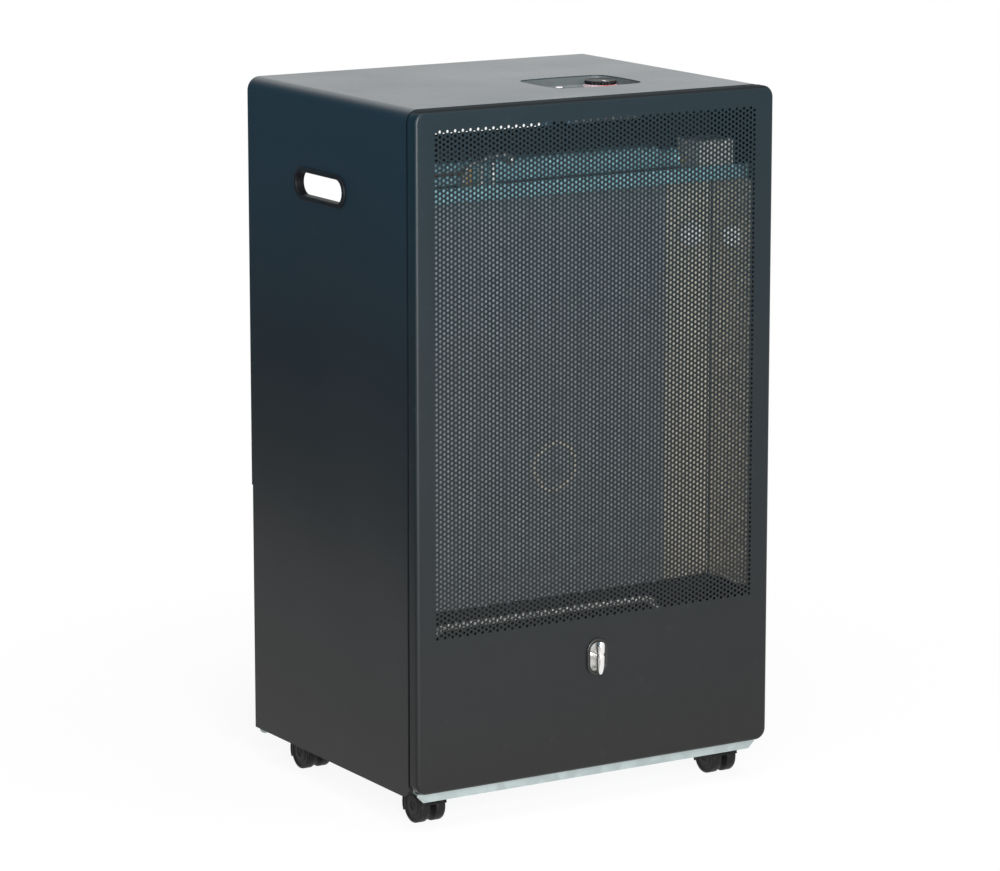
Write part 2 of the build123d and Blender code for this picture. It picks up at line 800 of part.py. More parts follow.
def heat_shield():
    """Vertically ribbed galvanised sheet behind the chamber."""
    pitch = 2 * shield_half_width / rib_count
    flat, foot = rib_flat_share * pitch, rib_foot_share * pitch
    y = side_front_y + shield_depth + rib_rise
    points = [(-shield_half_width, y)]
    for rib in range(rib_count):
        middle = -shield_half_width + (rib + 0.5) * pitch
        points += [(middle - foot, y), (middle - flat, y - rib_rise),
                   (middle + flat, y - rib_rise), (middle + foot, y)]
    points.append((shield_half_width, y))
    back = [(x, depth + sheet) for x, depth in reversed(points)]
    outline = Polygon(*points, *back, align=None)
    return plan_view(outline, shield_bottom_z, shelf_z)


def side_reflector():
    """Right-hand reflector: a wing beside the ribs, then forward along the cabinet's side."""
    y_wing = side_front_y + shield_depth + rib_rise
    x_wall = half_width - reflector_from_side
    line = [(shield_half_width + seat_gap, y_wing + sheet / 2),
            (x_wall, side_front_y + reflector_corner_depth),
            (x_wall, side_front_y + reflector_front_depth)]
    return plan_view(folded(line, reflector_bend), shield_bottom_z, shelf_z)


def burner_shelf():
    """Shelf across the chamber with a turned-up front lip."""
    reach = inner_x - seat_gap
    middle = shelf_z + sheet / 2
    front = side_front_y + shelf_front_depth + sheet / 2
    line = [(partition_y, middle), (front, middle), (front, shelf_z + shelf_lip)]
    return side_view(folded(line, sheet), -reach, reach)


def upper_baffle():
    """Dark deflector above the burner, leaning forward from the partition."""
    y = partition_y - sheet / 2
    line = [(y, burner_bottom_z + baffle_lap), (y, burner_top_z + baffle_lap),
            (partition_y - baffle_lean, baffle_top_z - sheet / 2)]
    baffle = side_view(folded(line, 2 * sheet), -baffle_half_width, baffle_half_width)
    return baffle - igniter_notch()


def lower_guard():
    """Guard in front of the tray's rear half, with rounded upper corners and a rolled edge."""
    y = side_front_y + shield_depth
    w, top = guard_half_width, guard_top_z
    face = rectangle(-w, w, tray_top_z, top)
    face = fillet(face.vertices().group_by(Axis.Y)[-1], guard_corner)
    hook_z = top - 2 * guard_corner
    edge = FilletPolyline((-w, hook_z), (-w, top), (w, top), (w, hook_z), radius=guard_corner)
    edge = Plane.XZ.offset(-y) * edge
    start = Plane(origin=edge @ 0, z_dir=edge % 0)
    bead = sweep(start * ring(guard_bead_radius, guard_bead_sides), path=edge)
    foot = block(-w, w, y, y + return_width, tray_top_z, tray_top_z + sheet)
    return front_view(face, y, y + sheet) + bead + foot


# ---------------------------------------------------------------- burner and pilot
def burner():
    """Pressed burner box with a row of flame ports in its top and its mixing tube."""
    y0 = side_front_y + burner_front_depth
    y1 = y0 + burner_size_depth
    body = block(burner_left_x, burner_right_x, y0, y1, burner_bottom_z, burner_top_z)
    body = chamfer(body.edges().filter_by(Axis.X), burner_bevel)
    body -= block(burner_left_x + sheet, burner_right_x - sheet, y0 + burner_wall, y1 - burner_wall,
                  burner_bottom_z + sheet, burner_top_z - sheet)
    pitch = (burner_right_x - burner_left_x) / (port_count + 1)
    for port in range(port_count):
        x = burner_left_x + (port + 1) * pitch
        body -= block(x - port_width / 2, x + port_width / 2, y0 + port_inset, y1 - port_inset,
                      burner_top_z - sheet - through, burner_top_z + through)
    body -= crosswise(burner_right_x - sheet - through, burner_right_x + through,
                      venturi_radius - sheet, burner_middle_y, injector_z, fitting_sides)
    foot = burner_foot_half
    feet = [block(x - foot, x + foot, burner_middle_y - foot, burner_middle_y + foot,
                  shelf_top_z, burner_bottom_z)
            for x in (burner_left_x + burner_foot_inset, burner_right_x - burner_foot_inset)]
    return body + feet + mixing_tube()


def mixing_tube():
    """Tube from the burner's end towards the injector, with a flared mouth."""
    mouth_x = burner_right_x + venturi_length
    neck_x = mouth_x - venturi_flare_length
    radius = venturi_radius
    tube = crosswise(burner_right_x, neck_x, radius, burner_middle_y, injector_z, fitting_sides)
    tube += flare(neck_x, mouth_x, radius, radius + venturi_flare)
    bore = radius - sheet
    tube -= crosswise(burner_right_x, neck_x, bore, burner_middle_y, injector_z, fitting_sides)
    return tube - flare(neck_x, mouth_x, bore, bore + venturi_flare)


def flare(x0, x1, radius0, radius1):
    """A many-sided cone along X on the burner's line."""
    ends = [Plane.YZ.offset(x) * Pos(burner_middle_y, injector_z) * ring(radius, fitting_sides)
            for x, radius in ((x0, radius0), (x1, radius1))]
    return loft(ends)


def injector_bracket():
    """Folded box on the shelf that carries the injector."""
    y0, y1 = side_front_y + bracket_front_depth, side_front_y + bracket_back_depth
    x0, x1 = bracket_left_x, bracket_right_x
    box = block(x0, x1, y0, y1, shelf_top_z, bracket_top_z)
    box -= block(x0 + sheet, x1 - sheet, y0 + sheet, y1 + through,
                 shelf_top_z - through, bracket_top_z - sheet)
    return box - crosswise(x0 - through, x0 + sheet + through, nozzle_radius + running_fit,
                           burner_middle_y, injector_z, fitting_sides)


def injector():
    """Brass elbow: orifice towards the mixing tube, pipe socket at the back."""
    y, half = burner_middle_y, injector_half
    tip_x, root_x = bracket_left_x - nozzle_reach, injector_x - half
    elbow = block(injector_x - half, injector_x + half, y - half, y + half,
                  injector_z - half, burner_pipe_z + half)
    nozzle = crosswise(tip_x, root_x, nozzle_radius, y, injector_z, fitting_sides)
    nozzle -= crosswise(tip_x - through, root_x, orifice_radius, y, injector_z, fitting_sides)
    socket = lengthwise(y + half, socket_end_y, burner_pipe_radius + socket_wall,
                        injector_x, burner_pipe_z, fitting_sides)
    socket -= lengthwise(socket_end_y - socket_overlap, socket_end_y + through,
                         burner_pipe_radius + running_fit, injector_x, burner_pipe_z, fitting_sides)
    return elbow + nozzle + socket


def pilot_bracket():
    """Small angle on the shelf with a table that holds the pilot group."""
    y = pilot_y
    left, right = pilot_x - pilot_table_side, electrode_x + pilot_table_side
    front = y - pilot_table_ahead
    low, table_z = shelf_top_z, shelf_top_z + pilot_table_rise - pilot_table_sheet
    table = block(left, right, front, y + pilot_table_behind, table_z, table_z + pilot_table_sheet)
    table += block(left, right, front, front + sheet, low, table_z)
    table += block(left, right, front, y + pilot_foot_behind, low, low + sheet)
    for x in (thermocouple_x, electrode_x):
        table -= upright(x, y, post_radius + running_fit, table_z - through,
                         table_z + pilot_table_sheet + through, fitting_sides)
    return table


def pilot_burner():
    """Brass pilot with its pipe socket to the left and a hooded flame port."""
    y, half = pilot_y, pilot_half
    low, high = shelf_top_z + pilot_table_rise, pilot_lane_z + pilot_half + pilot_bevel
    body = block(pilot_x - half, pilot_x + half, y - half, y + half, low, high)
    body = chamfer(body.edges().filter_by(Axis.Z), pilot_bevel)
    body -= upright(pilot_x, y, flame_port_radius, high - flame_port_depth, high + through, fitting_sides)
    root_x = pilot_x - half
    end_x = root_x - pilot_socket_length
    socket = crosswise(end_x, root_x, pilot_pipe_radius + pilot_socket_wall,
                       y, pilot_lane_z, fitting_sides)
    socket -= crosswise(end_x - through, end_x + pilot_socket_overlap,
                        pilot_pipe_radius + running_fit, y, pilot_lane_z, fitting_sides)
    return body + socket


def post(x, collar_rim, collar_height):
    """An upright sensor post through the pilot bracket, with a collar that rests on it."""
    table_z = shelf_top_z + pilot_table_rise
    rod = upright(x, pilot_y, post_radius, shelf_top_z + post_bottom_rise, post_top_z, fitting_sides)
    return rod + upright(x, pilot_y, post_radius + collar_rim, table_z, table_z + collar_height,
                         fitting_sides)


# ---------------------------------------------------------------- console, valve, igniter
def console_tray():
    """Moulded well under the top sheet with holes for the valve and the igniter."""
    tray = plan_view(console_outline(moulded_wall), console_under_z, inner_top_z)
    flange = Rectangle(console_length + 2 * console_flange, console_width + 2 * console_flange)
    tray += plan_view(flange, inner_top_z - moulded_wall, inner_top_z)
    tray -= plan_view(console_outline(), console_floor_z, inner_top_z + through)
    tray = Pos(console_x, console_y) * tray
    low, high = console_under_z - through, console_floor_z + through
    tray -= upright(valve_x, valve_y, spindle_radius + moulded_wall, low, high, fitting_sides)
    return tray - upright(igniter_x, igniter_y, igniter_radius + running_fit, low, high, fitting_sides)


def control_housing():
    """Folded box that screens the gas valve, open towards the console."""
    y0, y1 = housing_front_y, housing_back_y
    x0, x1 = housing_left_x, housing_right_x
    box = block(x0, x1, y0, y1, housing_bottom_z, console_under_z)
    box -= block(x0 + sheet, x1 - sheet, y0 + sheet, y1 - sheet,
                 housing_bottom_z + sheet, console_under_z + through)
    clear = hole_clearance
    box -= lengthwise(y1 - sheet - through, y1 + through, spigot_radius + clear,
                      valve_x, spigot_z, fitting_sides)
    box -= crosswise(x1 - sheet - through, x1 + through, burner_pipe_radius + clear,
                     valve_y, burner_pipe_z, fitting_sides)
    for z, radius in ((pilot_lane_z, pilot_pipe_radius), (thermocouple_lane_z, lead_radius)):
        box -= crosswise(x0 - through, x0 + sheet + through, radius + clear, lane_y, z, fitting_sides)
    return box


def gas_valve():
    """Cast valve body with its bonnet, the inlet boss behind and the outlet boss beside."""
    x1 = valve_x + valve_width / 2
    y1 = valve_y + valve_length / 2
    body = block(valve_x - valve_width / 2, x1, valve_y - valve_length / 2, y1,
                 housing_bottom_z + sheet, valve_top_z)
    body = chamfer(body.edges().filter_by(Axis.Z), valve_bevel)
    body += upright(valve_x, valve_y, bonnet_radius, valve_top_z, console_under_z, fitting_sides)
    body += lengthwise(y1, y1 + inlet_boss_length, nut_radius, valve_x, spigot_z, 6)
    body += crosswise(x1, x1 + outlet_boss_length, burner_pipe_radius + socket_wall,
                      valve_y, burner_pipe_z, 6)
    root = valve_top_z - spindle_root - spindle_play
    return body - upright(valve_x, valve_y, spindle_radius + running_fit, root, top_z)


def gas_inlet():
    """Hose spigot: plain pipe from the valve's boss with a hexagon nut outside the housing."""
    start = valve_y + valve_length / 2 + inlet_boss_length
    nut_start = housing_back_y + seat_gap
    nut_end = housing_back_y + nut_length
    spigot = lengthwise(nut_end, nut_end + spigot_length, spigot_radius, valve_x, spigot_z)
    spigot = chamfer(spigot.faces().sort_by(Axis.Y)[-1].edges(), spigot_bevel)
    spigot += lengthwise(nut_start, nut_end, nut_radius, valve_x, spigot_z, 6)
    return spigot + lengthwise(start, nut_start, spigot_radius, valve_x, spigot_z, fitting_sides)


def valve_spindle():
    """Round spindle with a flat that drives the knob."""
    spindle = upright(valve_x, valve_y, spindle_radius, valve_top_z - spindle_root, spindle_top_z)
    flat_y = valve_y - spindle_radius + flat_depth
    return spindle - flat_cutter(flat_y, knob_bottom_z - knob_press - through, spindle_top_z + through)


def flat_cutter(flat_y, z0, z1):
    """What lies ahead of the flat that the knob and its spindle share."""
    reach = spindle_radius + through
    return block(valve_x - reach, valve_x + reach, flat_y - reach, flat_y, z0, z1)


def control_knob():
    """Round skirt, many-sided grip and a blind bore for the spindle."""
    skirt_z = knob_bottom_z + knob_skirt
    knob = upright(valve_x, valve_y, knob_radius, knob_bottom_z, skirt_z, 2 * knob_sides)
    grip = upright(valve_x, valve_y, knob_radius - knob_step, skirt_z, knob_top_z, knob_sides)
    knob += chamfer(grip.faces().sort_by(Axis.Z)[-1].edges(), knob_bevel)
    bore = upright(valve_x, valve_y, spindle_radius + running_fit, knob_bottom_z - through,
                   spindle_top_z + knob_press + seat_gap)
    flat_y = valve_y - spindle_radius + flat_depth - running_fit
    return knob - (bore - flat_cutter(flat_y, knob_bottom_z - 2 * through, top_z))


def igniter_body():
    """Piezo igniter held in the console floor, with a bore for the button."""
    x, y = igniter_x, igniter_y
    body = upright(x, y, igniter_radius, igniter_bottom_z, console_floor_z, fitting_sides)
    body += upright(x, y, igniter_bezel_radius, console_floor_z,
                    console_floor_z + igniter_bezel_rise, igniter_bezel_sides)
    body += upright(x, y, igniter_radius + igniter_nut_rim,
                    console_under_z - igniter_nut_height, console_under_z, 6)
    half = terminal_size / 2
    side_x = x - igniter_radius
    body += block(side_x - terminal_length, side_x + sheet, y - half, y + half,
                  ignition_lane_z - half, ignition_lane_z + half)
    return body - upright(x, y, button_radius + 2 * running_fit,
                          button_bottom_z - button_press - through, top_z, igniter_bezel_sides)


def igniter_button():
    """Plunger of the igniter with a softened top."""
    button = upright(igniter_x, igniter_y, button_radius, button_bottom_z, button_top_z,
                     igniter_bezel_sides)
    return chamfer(button.faces().sort_by(Axis.Z)[-1].edges(), button_bevel)


# ---------------------------------------------------------------- pipes and leads
def burner_pipe():
    """Gas pipe from the valve's outlet, round one bend, to the injector."""
    start = valve_x + valve_width / 2 + outlet_boss_length
    end_y = socket_end_y - socket_overlap + seat_gap
    return pipe([(start, valve_y, burner_pipe_z), (injector_x, valve_y, burner_pipe_z),
                 (injector_x, end_y, burner_pipe_z)],
                burner_pipe_bend, burner_pipe_radius, burner_pipe_sides)


def pilot_pipe():
    """Thin gas pipe from the valve to the pilot burner."""
    end_x = pilot_x - pilot_half - pilot_socket_length + pilot_socket_overlap - seat_gap
    return pipe([(valve_x - valve_width / 2, lane_y, pilot_lane_z), (slot_x, lane_y, pilot_lane_z),
                 (slot_x, pilot_y, pilot_lane_z), (end_x, pilot_y, pilot_lane_z)],
                pilot_pipe_bend, pilot_pipe_radius, pilot_pipe_sides)


def sensor_lead(start_x, start_y, z, post_x):
    """Lead that runs behind the partition, forward through its slot and down onto a post."""
    return pipe([(start_x, start_y, z), (slot_x, start_y, z), (slot_x, pilot_y, z),
                 (post_x, pilot_y, z), (post_x, pilot_y, post_top_z)],
                lead_bend, lead_radius, lead_sides)


def thermocouple_lead():
    """Lead from the valve's side to the thermocouple."""
    return sensor_lead(valve_x - valve_width / 2, lane_y, thermocouple_lane_z, thermocouple_x)


def ignition_lead():
    """Lead from the igniter's terminal to the electrode."""
    return sensor_lead(igniter_x - igniter_radius - terminal_length, igniter_y,
                       ignition_lane_z, electrode_x)


# ---------------------------------------------------------------- the whole heater
def build():
    """Every node's solid, by name."""
    nodes = {
        "cabinet_shell": cabinet_shell(),
        "rear_frame": rear_frame(),
        "base_tray": base_tray(),
        "rear_cover": rear_cover(),
        "handle_insert_left": handle_insert(),
        "handle_insert_right": mirrored(handle_insert()),
        "front_panel": front_panel(),
        "front_grille": front_grille(),
        "hinge_lugs": hinge_lugs(),
        "latch_escutcheon": latch_escutcheon(),
        "latch_knob": latch_knob(),
        "latch_cam": latch_cam(),
        "latch_keeper": latch_keeper(),
        "caster_plates": caster_plates(),
        "partition": partition(),
        "heat_shield": heat_shield(),
        "side_reflector_right": side_reflector(),
        "side_reflector_left": mirrored(side_reflector()),
        "burner_shelf": burner_shelf(),
        "upper_baffle": upper_baffle(),
        "lower_guard": lower_guard(),
        "burner": burner(),
        "injector_bracket": injector_bracket(),
        "injector": injector(),
        "pilot_bracket": pilot_bracket(),
        "pilot_burner": pilot_burner(),
        "thermocouple": post(thermocouple_x, thermocouple_rim, thermocouple_collar),
        "ignition_electrode": post(electrode_x, electrode_rim, electrode_collar),
        "console_tray": console_tray(),
        "control_housing": control_housing(),
        "gas_valve": gas_valve(),
        "gas_inlet": gas_inlet(),
        "valve_spindle": valve_spindle(),
        "control_knob": control_knob(),
        "igniter_body": igniter_body(),
        "igniter_button": igniter_button(),
        "burner_pipe": burner_pipe(),
        "pilot_pipe": pilot_pipe(),
        "thermocouple_lead": thermocouple_lead(),
        "ignition_lead": ignition_lead(),
    }
    for name, (x, y) in zip(caster_names, caster_places):
        nodes[f"caster_hood_{name}"] = caster_hood(x, y)
        nodes[f"caster_axle_{name}"] = caster_axle(x, y)
        nodes[f"caster_wheels_{name}"] = caster_wheels(x, y)
    return nodes


os.makedirs("parts", exist_ok=True)
for node_name, solid in build().items():
    export_step(solid, f"parts/{node_name}.step")
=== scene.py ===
"""Portable gas cabinet heater: the visible pieces, their finishes, and a plain studio.

All lengths are metres in the heater's own frame: +Z is up, the perforated front faces
-Y, and the origin is on the floor under the middle of the heater's box.
"""

from __future__ import annotations

import json
import logging
import math
from contextlib import contextmanager
from dataclasses import dataclass
from enum import Enum
from typing import Callable, Iterator, Sequence

import bmesh
import bpy
from bpy.types import Material, Object, World
from mathutils import Euler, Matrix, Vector

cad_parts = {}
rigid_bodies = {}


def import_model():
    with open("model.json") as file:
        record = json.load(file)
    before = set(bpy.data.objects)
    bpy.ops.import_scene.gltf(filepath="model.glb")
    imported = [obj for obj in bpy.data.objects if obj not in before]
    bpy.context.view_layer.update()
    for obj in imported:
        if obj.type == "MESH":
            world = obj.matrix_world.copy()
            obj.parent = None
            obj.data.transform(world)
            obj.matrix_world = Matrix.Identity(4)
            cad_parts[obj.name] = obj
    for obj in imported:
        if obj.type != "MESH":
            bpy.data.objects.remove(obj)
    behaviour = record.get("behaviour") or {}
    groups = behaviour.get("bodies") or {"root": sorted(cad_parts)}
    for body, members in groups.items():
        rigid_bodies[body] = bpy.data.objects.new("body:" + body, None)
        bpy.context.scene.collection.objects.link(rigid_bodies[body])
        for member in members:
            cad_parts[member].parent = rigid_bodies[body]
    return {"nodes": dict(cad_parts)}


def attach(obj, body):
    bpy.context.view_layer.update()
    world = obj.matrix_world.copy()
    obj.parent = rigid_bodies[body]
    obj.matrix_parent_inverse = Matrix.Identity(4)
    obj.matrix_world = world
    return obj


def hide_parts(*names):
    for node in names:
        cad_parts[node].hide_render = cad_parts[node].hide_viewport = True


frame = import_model()

LOG = logging.getLogger("heater")
MM = 0.001
Point = tuple[float, float, float]
Colour = tuple[float, float, float]


def millimetres(profile: Sequence[tuple[float, float]]) -> list[tuple[float, float]]:
    """Turns a profile of radii and heights in millimetres into metres."""
    return [(radius * MM, height * MM) for radius, height in profile]


def toned(colour: Colour, factor: float, lift: float = 0.0) -> Colour:
    """A colour made darker or lighter, with no part over 1."""
    return tuple(min(1.0, value * factor + lift) for value in colour)


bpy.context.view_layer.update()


# ---------------------------------------------------------------- shader toolkit
class Signal:
    """One output socket of a shader node, with arithmetic on it."""

    def __init__(self, desk: "ShaderDesk", socket: bpy.types.NodeSocket) -> None:
        """Wraps a socket.

        Args:
            desk: The desk whose node tree the socket is in.
            socket: The output socket.
        """
        self.desk = desk
        self.socket = socket

    def _math(self, operation: str, first: "Signal | float", second: "Signal | float") -> "Signal":
        """Adds a Math node and returns its result."""
        return self.desk.node("ShaderNodeMath", {"operation": operation}, {0: first, 1: second})

    def __add__(self, other: "Signal | float") -> "Signal":
        """Sum."""
        return self._math("ADD", self, other)

    def __radd__(self, other: float) -> "Signal":
        """Sum with a number on the left."""
        return self._math("ADD", other, self)

    def __sub__(self, other: "Signal | float") -> "Signal":
        """Difference."""
        return self._math("SUBTRACT", self, other)

    def __rsub__(self, other: float) -> "Signal":
        """Difference from a number on the left."""
        return self._math("SUBTRACT", other, self)

    def __mul__(self, other: "Signal | float") -> "Signal":
        """Product."""
        return self._math("MULTIPLY", self, other)

    def __rmul__(self, other: float) -> "Signal":
        """Product with a number on the left."""
        return self._math("MULTIPLY", other, self)

    def __gt__(self, other: "Signal | float") -> "Signal":
        """1 where this is greater, otherwise 0."""
        return self._math("GREATER_THAN", self, other)

    def __lt__(self, other: "Signal | float") -> "Signal":
        """1 where this is smaller, otherwise 0."""
        return self._math("LESS_THAN", self, other)

    def __pow__(self, other: "Signal | float") -> "Signal":
        """Power."""
        return self._math("POWER", self, other)

    def at_least(self, limit: "Signal | float") -> "Signal":
        """The greater of this and the limit."""
        return self._math("MAXIMUM", self, limit)

    def spread(self, low: float, high: float, to_low: float = 0.0, to_high: float = 1.0) -> "Signal":
        """Maps a range of this onto another range, held at both ends.

        Args:
            low: Value that maps onto to_low.
            high: Value that maps onto to_high.
            to_low: Result at the low end.
            to_high: Result at the high end.

        Returns:
            The mapped signal.
        """
        return self.desk.node("ShaderNodeMapRange", {"clamp": True},
                              {0: self, 1: low, 2: high, 3: to_low, 4: to_high})


class ShaderDesk:
    """A material's or a world's node tree, with short ways to add nodes and to end it."""

    def __init__(self, name: str, world: World | None = None) -> None:
        """Starts an empty material, or empties a world.

        Args:
            name: The material's name.
            world: The world to work on instead of a new material.
        """
        self.owner = world or bpy.data.materials.new(name)
        self.output = "ShaderNodeOutputWorld" if world else "ShaderNodeOutputMaterial"
        self.owner.use_nodes = True
        self.tree = self.owner.node_tree
        self.tree.nodes.clear()

    def add(self, kind: str, settings: dict | None = None,
            inputs: dict | None = None) -> bpy.types.ShaderNode:
        """Adds a node.

        Args:
            kind: The node's type name.
            settings: Its properties; "stops" holds a colour ramp's (position, colour) pairs.
            inputs: Values or signals by socket number or name.

        Returns:
            The node.
        """
        made = self.tree.nodes.new(kind)
        for key, value in (settings or {}).items():
            if key == "stops":
                self._fill_ramp(made.color_ramp, value)
            else:
                setattr(made, key, value)
        for key, value in (inputs or {}).items():
            if isinstance(value, Signal):
                self.tree.links.new(value.socket, made.inputs[key])
            else:
                made.inputs[key].default_value = value
        return made

    def node(self, kind: str, settings: dict | None = None, inputs: dict | None = None,
             output: int | str = 0) -> Signal:
        """Adds a node and takes one of its outputs.

        Args:
            kind: The node's type name.
            settings: Its properties.
            inputs: Values or signals by socket number or name.
            output: The output socket to return.

        Returns:
            The chosen output.
        """
        return Signal(self, self.add(kind, settings, inputs).outputs[output])

    @staticmethod
    def _fill_ramp(ramp: bpy.types.ColorRamp, stops: Sequence[tuple[float, Colour]]) -> None:
        """Sets a colour ramp's stops."""
        while len(ramp.elements) < len(stops):
            ramp.elements.new(0.5)
        for element, (position, colour) in zip(ramp.elements, stops):
            element.position = position
            element.color = (*colour, 1.0)

    def place(self) -> Signal:
        """Coordinates in the heater's frame."""
        return self.node("ShaderNodeTexCoord", output="Object")

    def axes(self, vector: Signal) -> tuple[Signal, Signal, Signal]:
        """The three components of a vector.

        Args:
            vector: The vector to take apart.

        Returns:
            Its X, Y and Z.
        """
        sockets = self.add("ShaderNodeSeparateXYZ", {}, {0: vector}).outputs
        return Signal(self, sockets[0]), Signal(self, sockets[1]), Signal(self, sockets[2])

    def stretched(self, scale: Point) -> Signal:
        """Object coordinates scaled by a factor along each axis."""
        return self.node("ShaderNodeMapping", {}, {"Vector": self.place(), "Scale": scale})

    def noise(self, scale: float, detail: float = 3.0, roughness: float = 0.55,
              vector: Signal | None = None) -> Signal:
        """A noise value from 0 to 1.

        Args:
            scale: Features per metre.
            detail: Octaves.
            roughness: Weight of the finer octaves.
            vector: Coordinates, or None for the object's own.

        Returns:
            The noise.
        """
        return self.node("ShaderNodeTexNoise", {}, {"Vector": vector or self.place(), "Scale": scale,
                                                    "Detail": detail, "Roughness": roughness})

    def cells(self, scale: float) -> Signal:
        """The colour of a cell pattern with so many cells per metre."""
        return self.node("ShaderNodeTexVoronoi", {}, {"Vector": self.place(), "Scale": scale},
                         "Color")

    def seen_directly(self) -> Signal:
        """1 for rays from the camera, from a reflection or through glass, otherwise 0."""
        camera, glossy, through = (self.node("ShaderNodeLightPath", output=f"Is {kind} Ray")
                                   for kind in ("Camera", "Glossy", "Transmission"))
        return camera.at_least(glossy).at_least(through)

    def mixed(self, factor: Signal | float, first: Signal | Colour, second: Signal | Colour,
              blend: str = "MIX") -> Signal:
        """Two colours mixed.

        Args:
            factor: Share of the second.
            first: Colour where the factor is 0.
            second: Colour where the factor is 1.
            blend: How they are combined.

        Returns:
            The mixed colour.
        """
        first = first if isinstance(first, Signal) else (*first, 1.0)
        second = second if isinstance(second, Signal) else (*second, 1.0)
        return self.node("ShaderNodeMix", {"data_type": "RGBA", "blend_type": blend},
                         {0: factor, 6: first, 7: second}, 2)

    def bump(self, height: Signal, strength: float, distance: float,
             under: Signal | None = None) -> Signal:
        """A normal bent by a height.

        Args:
            height: The height from 0 to 1.
            strength: Share of the effect.
            distance: Height in metres of a full step.
            under: Normal to bend further.

        Returns:
            The bent normal.
        """
        inputs = {"Height": height, "Strength": strength, "Distance": distance}
        if under is not None:
            inputs["Normal"] = under
        return self.node("ShaderNodeBump", {}, inputs)

    def finish(self, sockets: dict) -> Material:
        """Ends the tree in one principled shader.

        Args:
            sockets: Values or signals by socket name.

        Returns:
            The finished material.
        """
        return self.close(self.node("ShaderNodeBsdfPrincipled", {}, sockets))

    def close(self, shader: Signal) -> Material | World:
        """Connects a shader to the output.

        Args:
            shader: The shader.

        Returns:
            The finished material or world.
        """
        self.add(self.output, {}, {"Surface": shader})
        return self.owner


# ---------------------------------------------------------------- finishes
@dataclass(frozen=True)
class SatinPaint:
    """Stoved satin powder paint with a fine skin and slight cloudiness. Its colour also holds painted
    light: it turns greyer towards the foot as a painted reflection of the floor. A band along the top
    edge takes its own tone, which is a painted highlight on the cabinet's top and painted shade on the
    front panel's top edge.
    """

    name: str
    colour: Colour
    # colour at the foot: painted reflection of the pale floor
    painted_floor_reflection_colour: Colour
    # tone of the band along the top edge: painted highlight on the cabinet's top, painted shade on the
    # front panel's top edge
    crown: Colour
    crown_roughness: float
    roughness: float = 0.34
    specular: float = 0.3

    def make(self) -> Material:
        """Builds the paint.

        Returns:
            The material.
        """
        desk = ShaderDesk(self.name)
        _, _, height = desk.axes(desk.place())
        # Greyer towards the foot: painted reflection of the pale floor on the lower sides.
        painted_reflection_sweep = height.spread(0.05, 0.72)
        cloud = desk.noise(7.0, 4.0)
        tone = desk.mixed(painted_reflection_sweep, self.painted_floor_reflection_colour, self.colour)
        # Band along the top edge in the crown tone: painted highlight on the cabinet's top, painted
        # shade along the front panel's top edge.
        upper = height.spread(0.7185, 0.7205)
        tone = desk.mixed(upper, tone, self.crown)
        tone = desk.mixed(cloud.spread(0.3, 0.7, 0.0, 0.14), tone, (0.5, 0.5, 0.5), "SOFT_LIGHT")
        dust = desk.noise(60.0, 5.0, 0.7).spread(0.62, 0.8, 0.0, 0.03)
        tone = desk.mixed(dust, tone, (0.35, 0.36, 0.36))
        skin = desk.noise(1400.0, 2.0)
        waves = desk.noise(34.0, 2.0)
        rough = cloud.spread(0.2, 0.8, self.roughness - 0.03, self.roughness + 0.04)
        rough = rough + upper * (self.crown_roughness - self.roughness)
        normal = desk.bump(skin, 0.22, 0.00004)
        normal = desk.bump(waves, 0.05, 0.0004, normal)
        return desk.finish({"Base Color": tone, "Roughness": rough, "Normal": normal,
                            "Specular IOR Level": self.specular})


@dataclass(frozen=True)
class GalvanisedSheet:
    """Zinc-coated sheet with pale crystals and rolling marks."""

    name: str
    colour: Colour
    roughness: float = 0.38
    metal: float = 1.0

    def make(self) -> Material:
        """Builds the zinc surface.

        Returns:
            The material.
        """
        desk = ShaderDesk(self.name)
        spangle = desk.cells(95.0)
        pale, _, _ = desk.axes(spangle)
        streak = desk.noise(18.0, 4.0, 0.6, desk.stretched((1.0, 1.0, 0.12)))
        tone = desk.mixed(pale.spread(0.0, 1.0, 0.0, 0.28), self.colour,
                          toned(self.colour, 1.3))
        tone = desk.mixed(streak.spread(0.35, 0.75, 0.0, 0.3), tone,
                          toned(self.colour, 0.62))
        rough = (pale * 0.12) + streak.spread(0.3, 0.7, self.roughness - 0.05, self.roughness + 0.1)
        normal = desk.bump(pale, 0.05, 0.0001)
        return desk.finish({"Base Color": tone, "Metallic": self.metal, "Roughness": rough,
                            "Normal": normal})


@dataclass(frozen=True)
class DarkenedSteel:
    """Sheet steel darkened by heat, with sooty patches."""

    name: str
    colour: Colour
    metal: float = 0.5
    roughness: float = 0.5

    def make(self) -> Material:
        """Builds the darkened surface.

        Returns:
            The material.
        """
        desk = ShaderDesk(self.name)
        patch = desk.noise(14.0, 5.0, 0.65)
        grain = desk.noise(400.0, 2.0)
        tone = desk.mixed(patch.spread(0.3, 0.75), self.colour,
                          toned(self.colour, 0.45))
        rough = patch.spread(0.2, 0.8, self.roughness - 0.08, self.roughness + 0.15)
        return desk.finish({"Base Color": tone, "Metallic": self.metal, "Roughness": rough,
                            "Normal": desk.bump(grain, 0.15, 0.00005)})


@dataclass(frozen=True)
class BrightMetal:
    """Plated, turned or cast metal."""

    name: str
    colour: Colour
    roughness: float
    grain: float = 600.0
    relief: float = 0.04
    stain: float = 0.2

    def make(self) -> Material:
        """Builds the metal.

        Returns:
            The material.
        """
        desk = ShaderDesk(self.name)
        blot = desk.noise(55.0, 4.0)
        fine = desk.noise(self.grain, 3.0)
        tone = desk.mixed(blot.spread(0.4, 0.8, 0.0, self.stain), self.colour,
                          toned(self.colour, 0.5))
        rough = blot.spread(0.25, 0.75, self.roughness * 0.8, self.roughness * 1.35)
        return desk.finish({"Base Color": tone, "Metallic": 1.0, "Roughness": rough,
                            "Normal": desk.bump(fine, self.relief, 0.0001)})


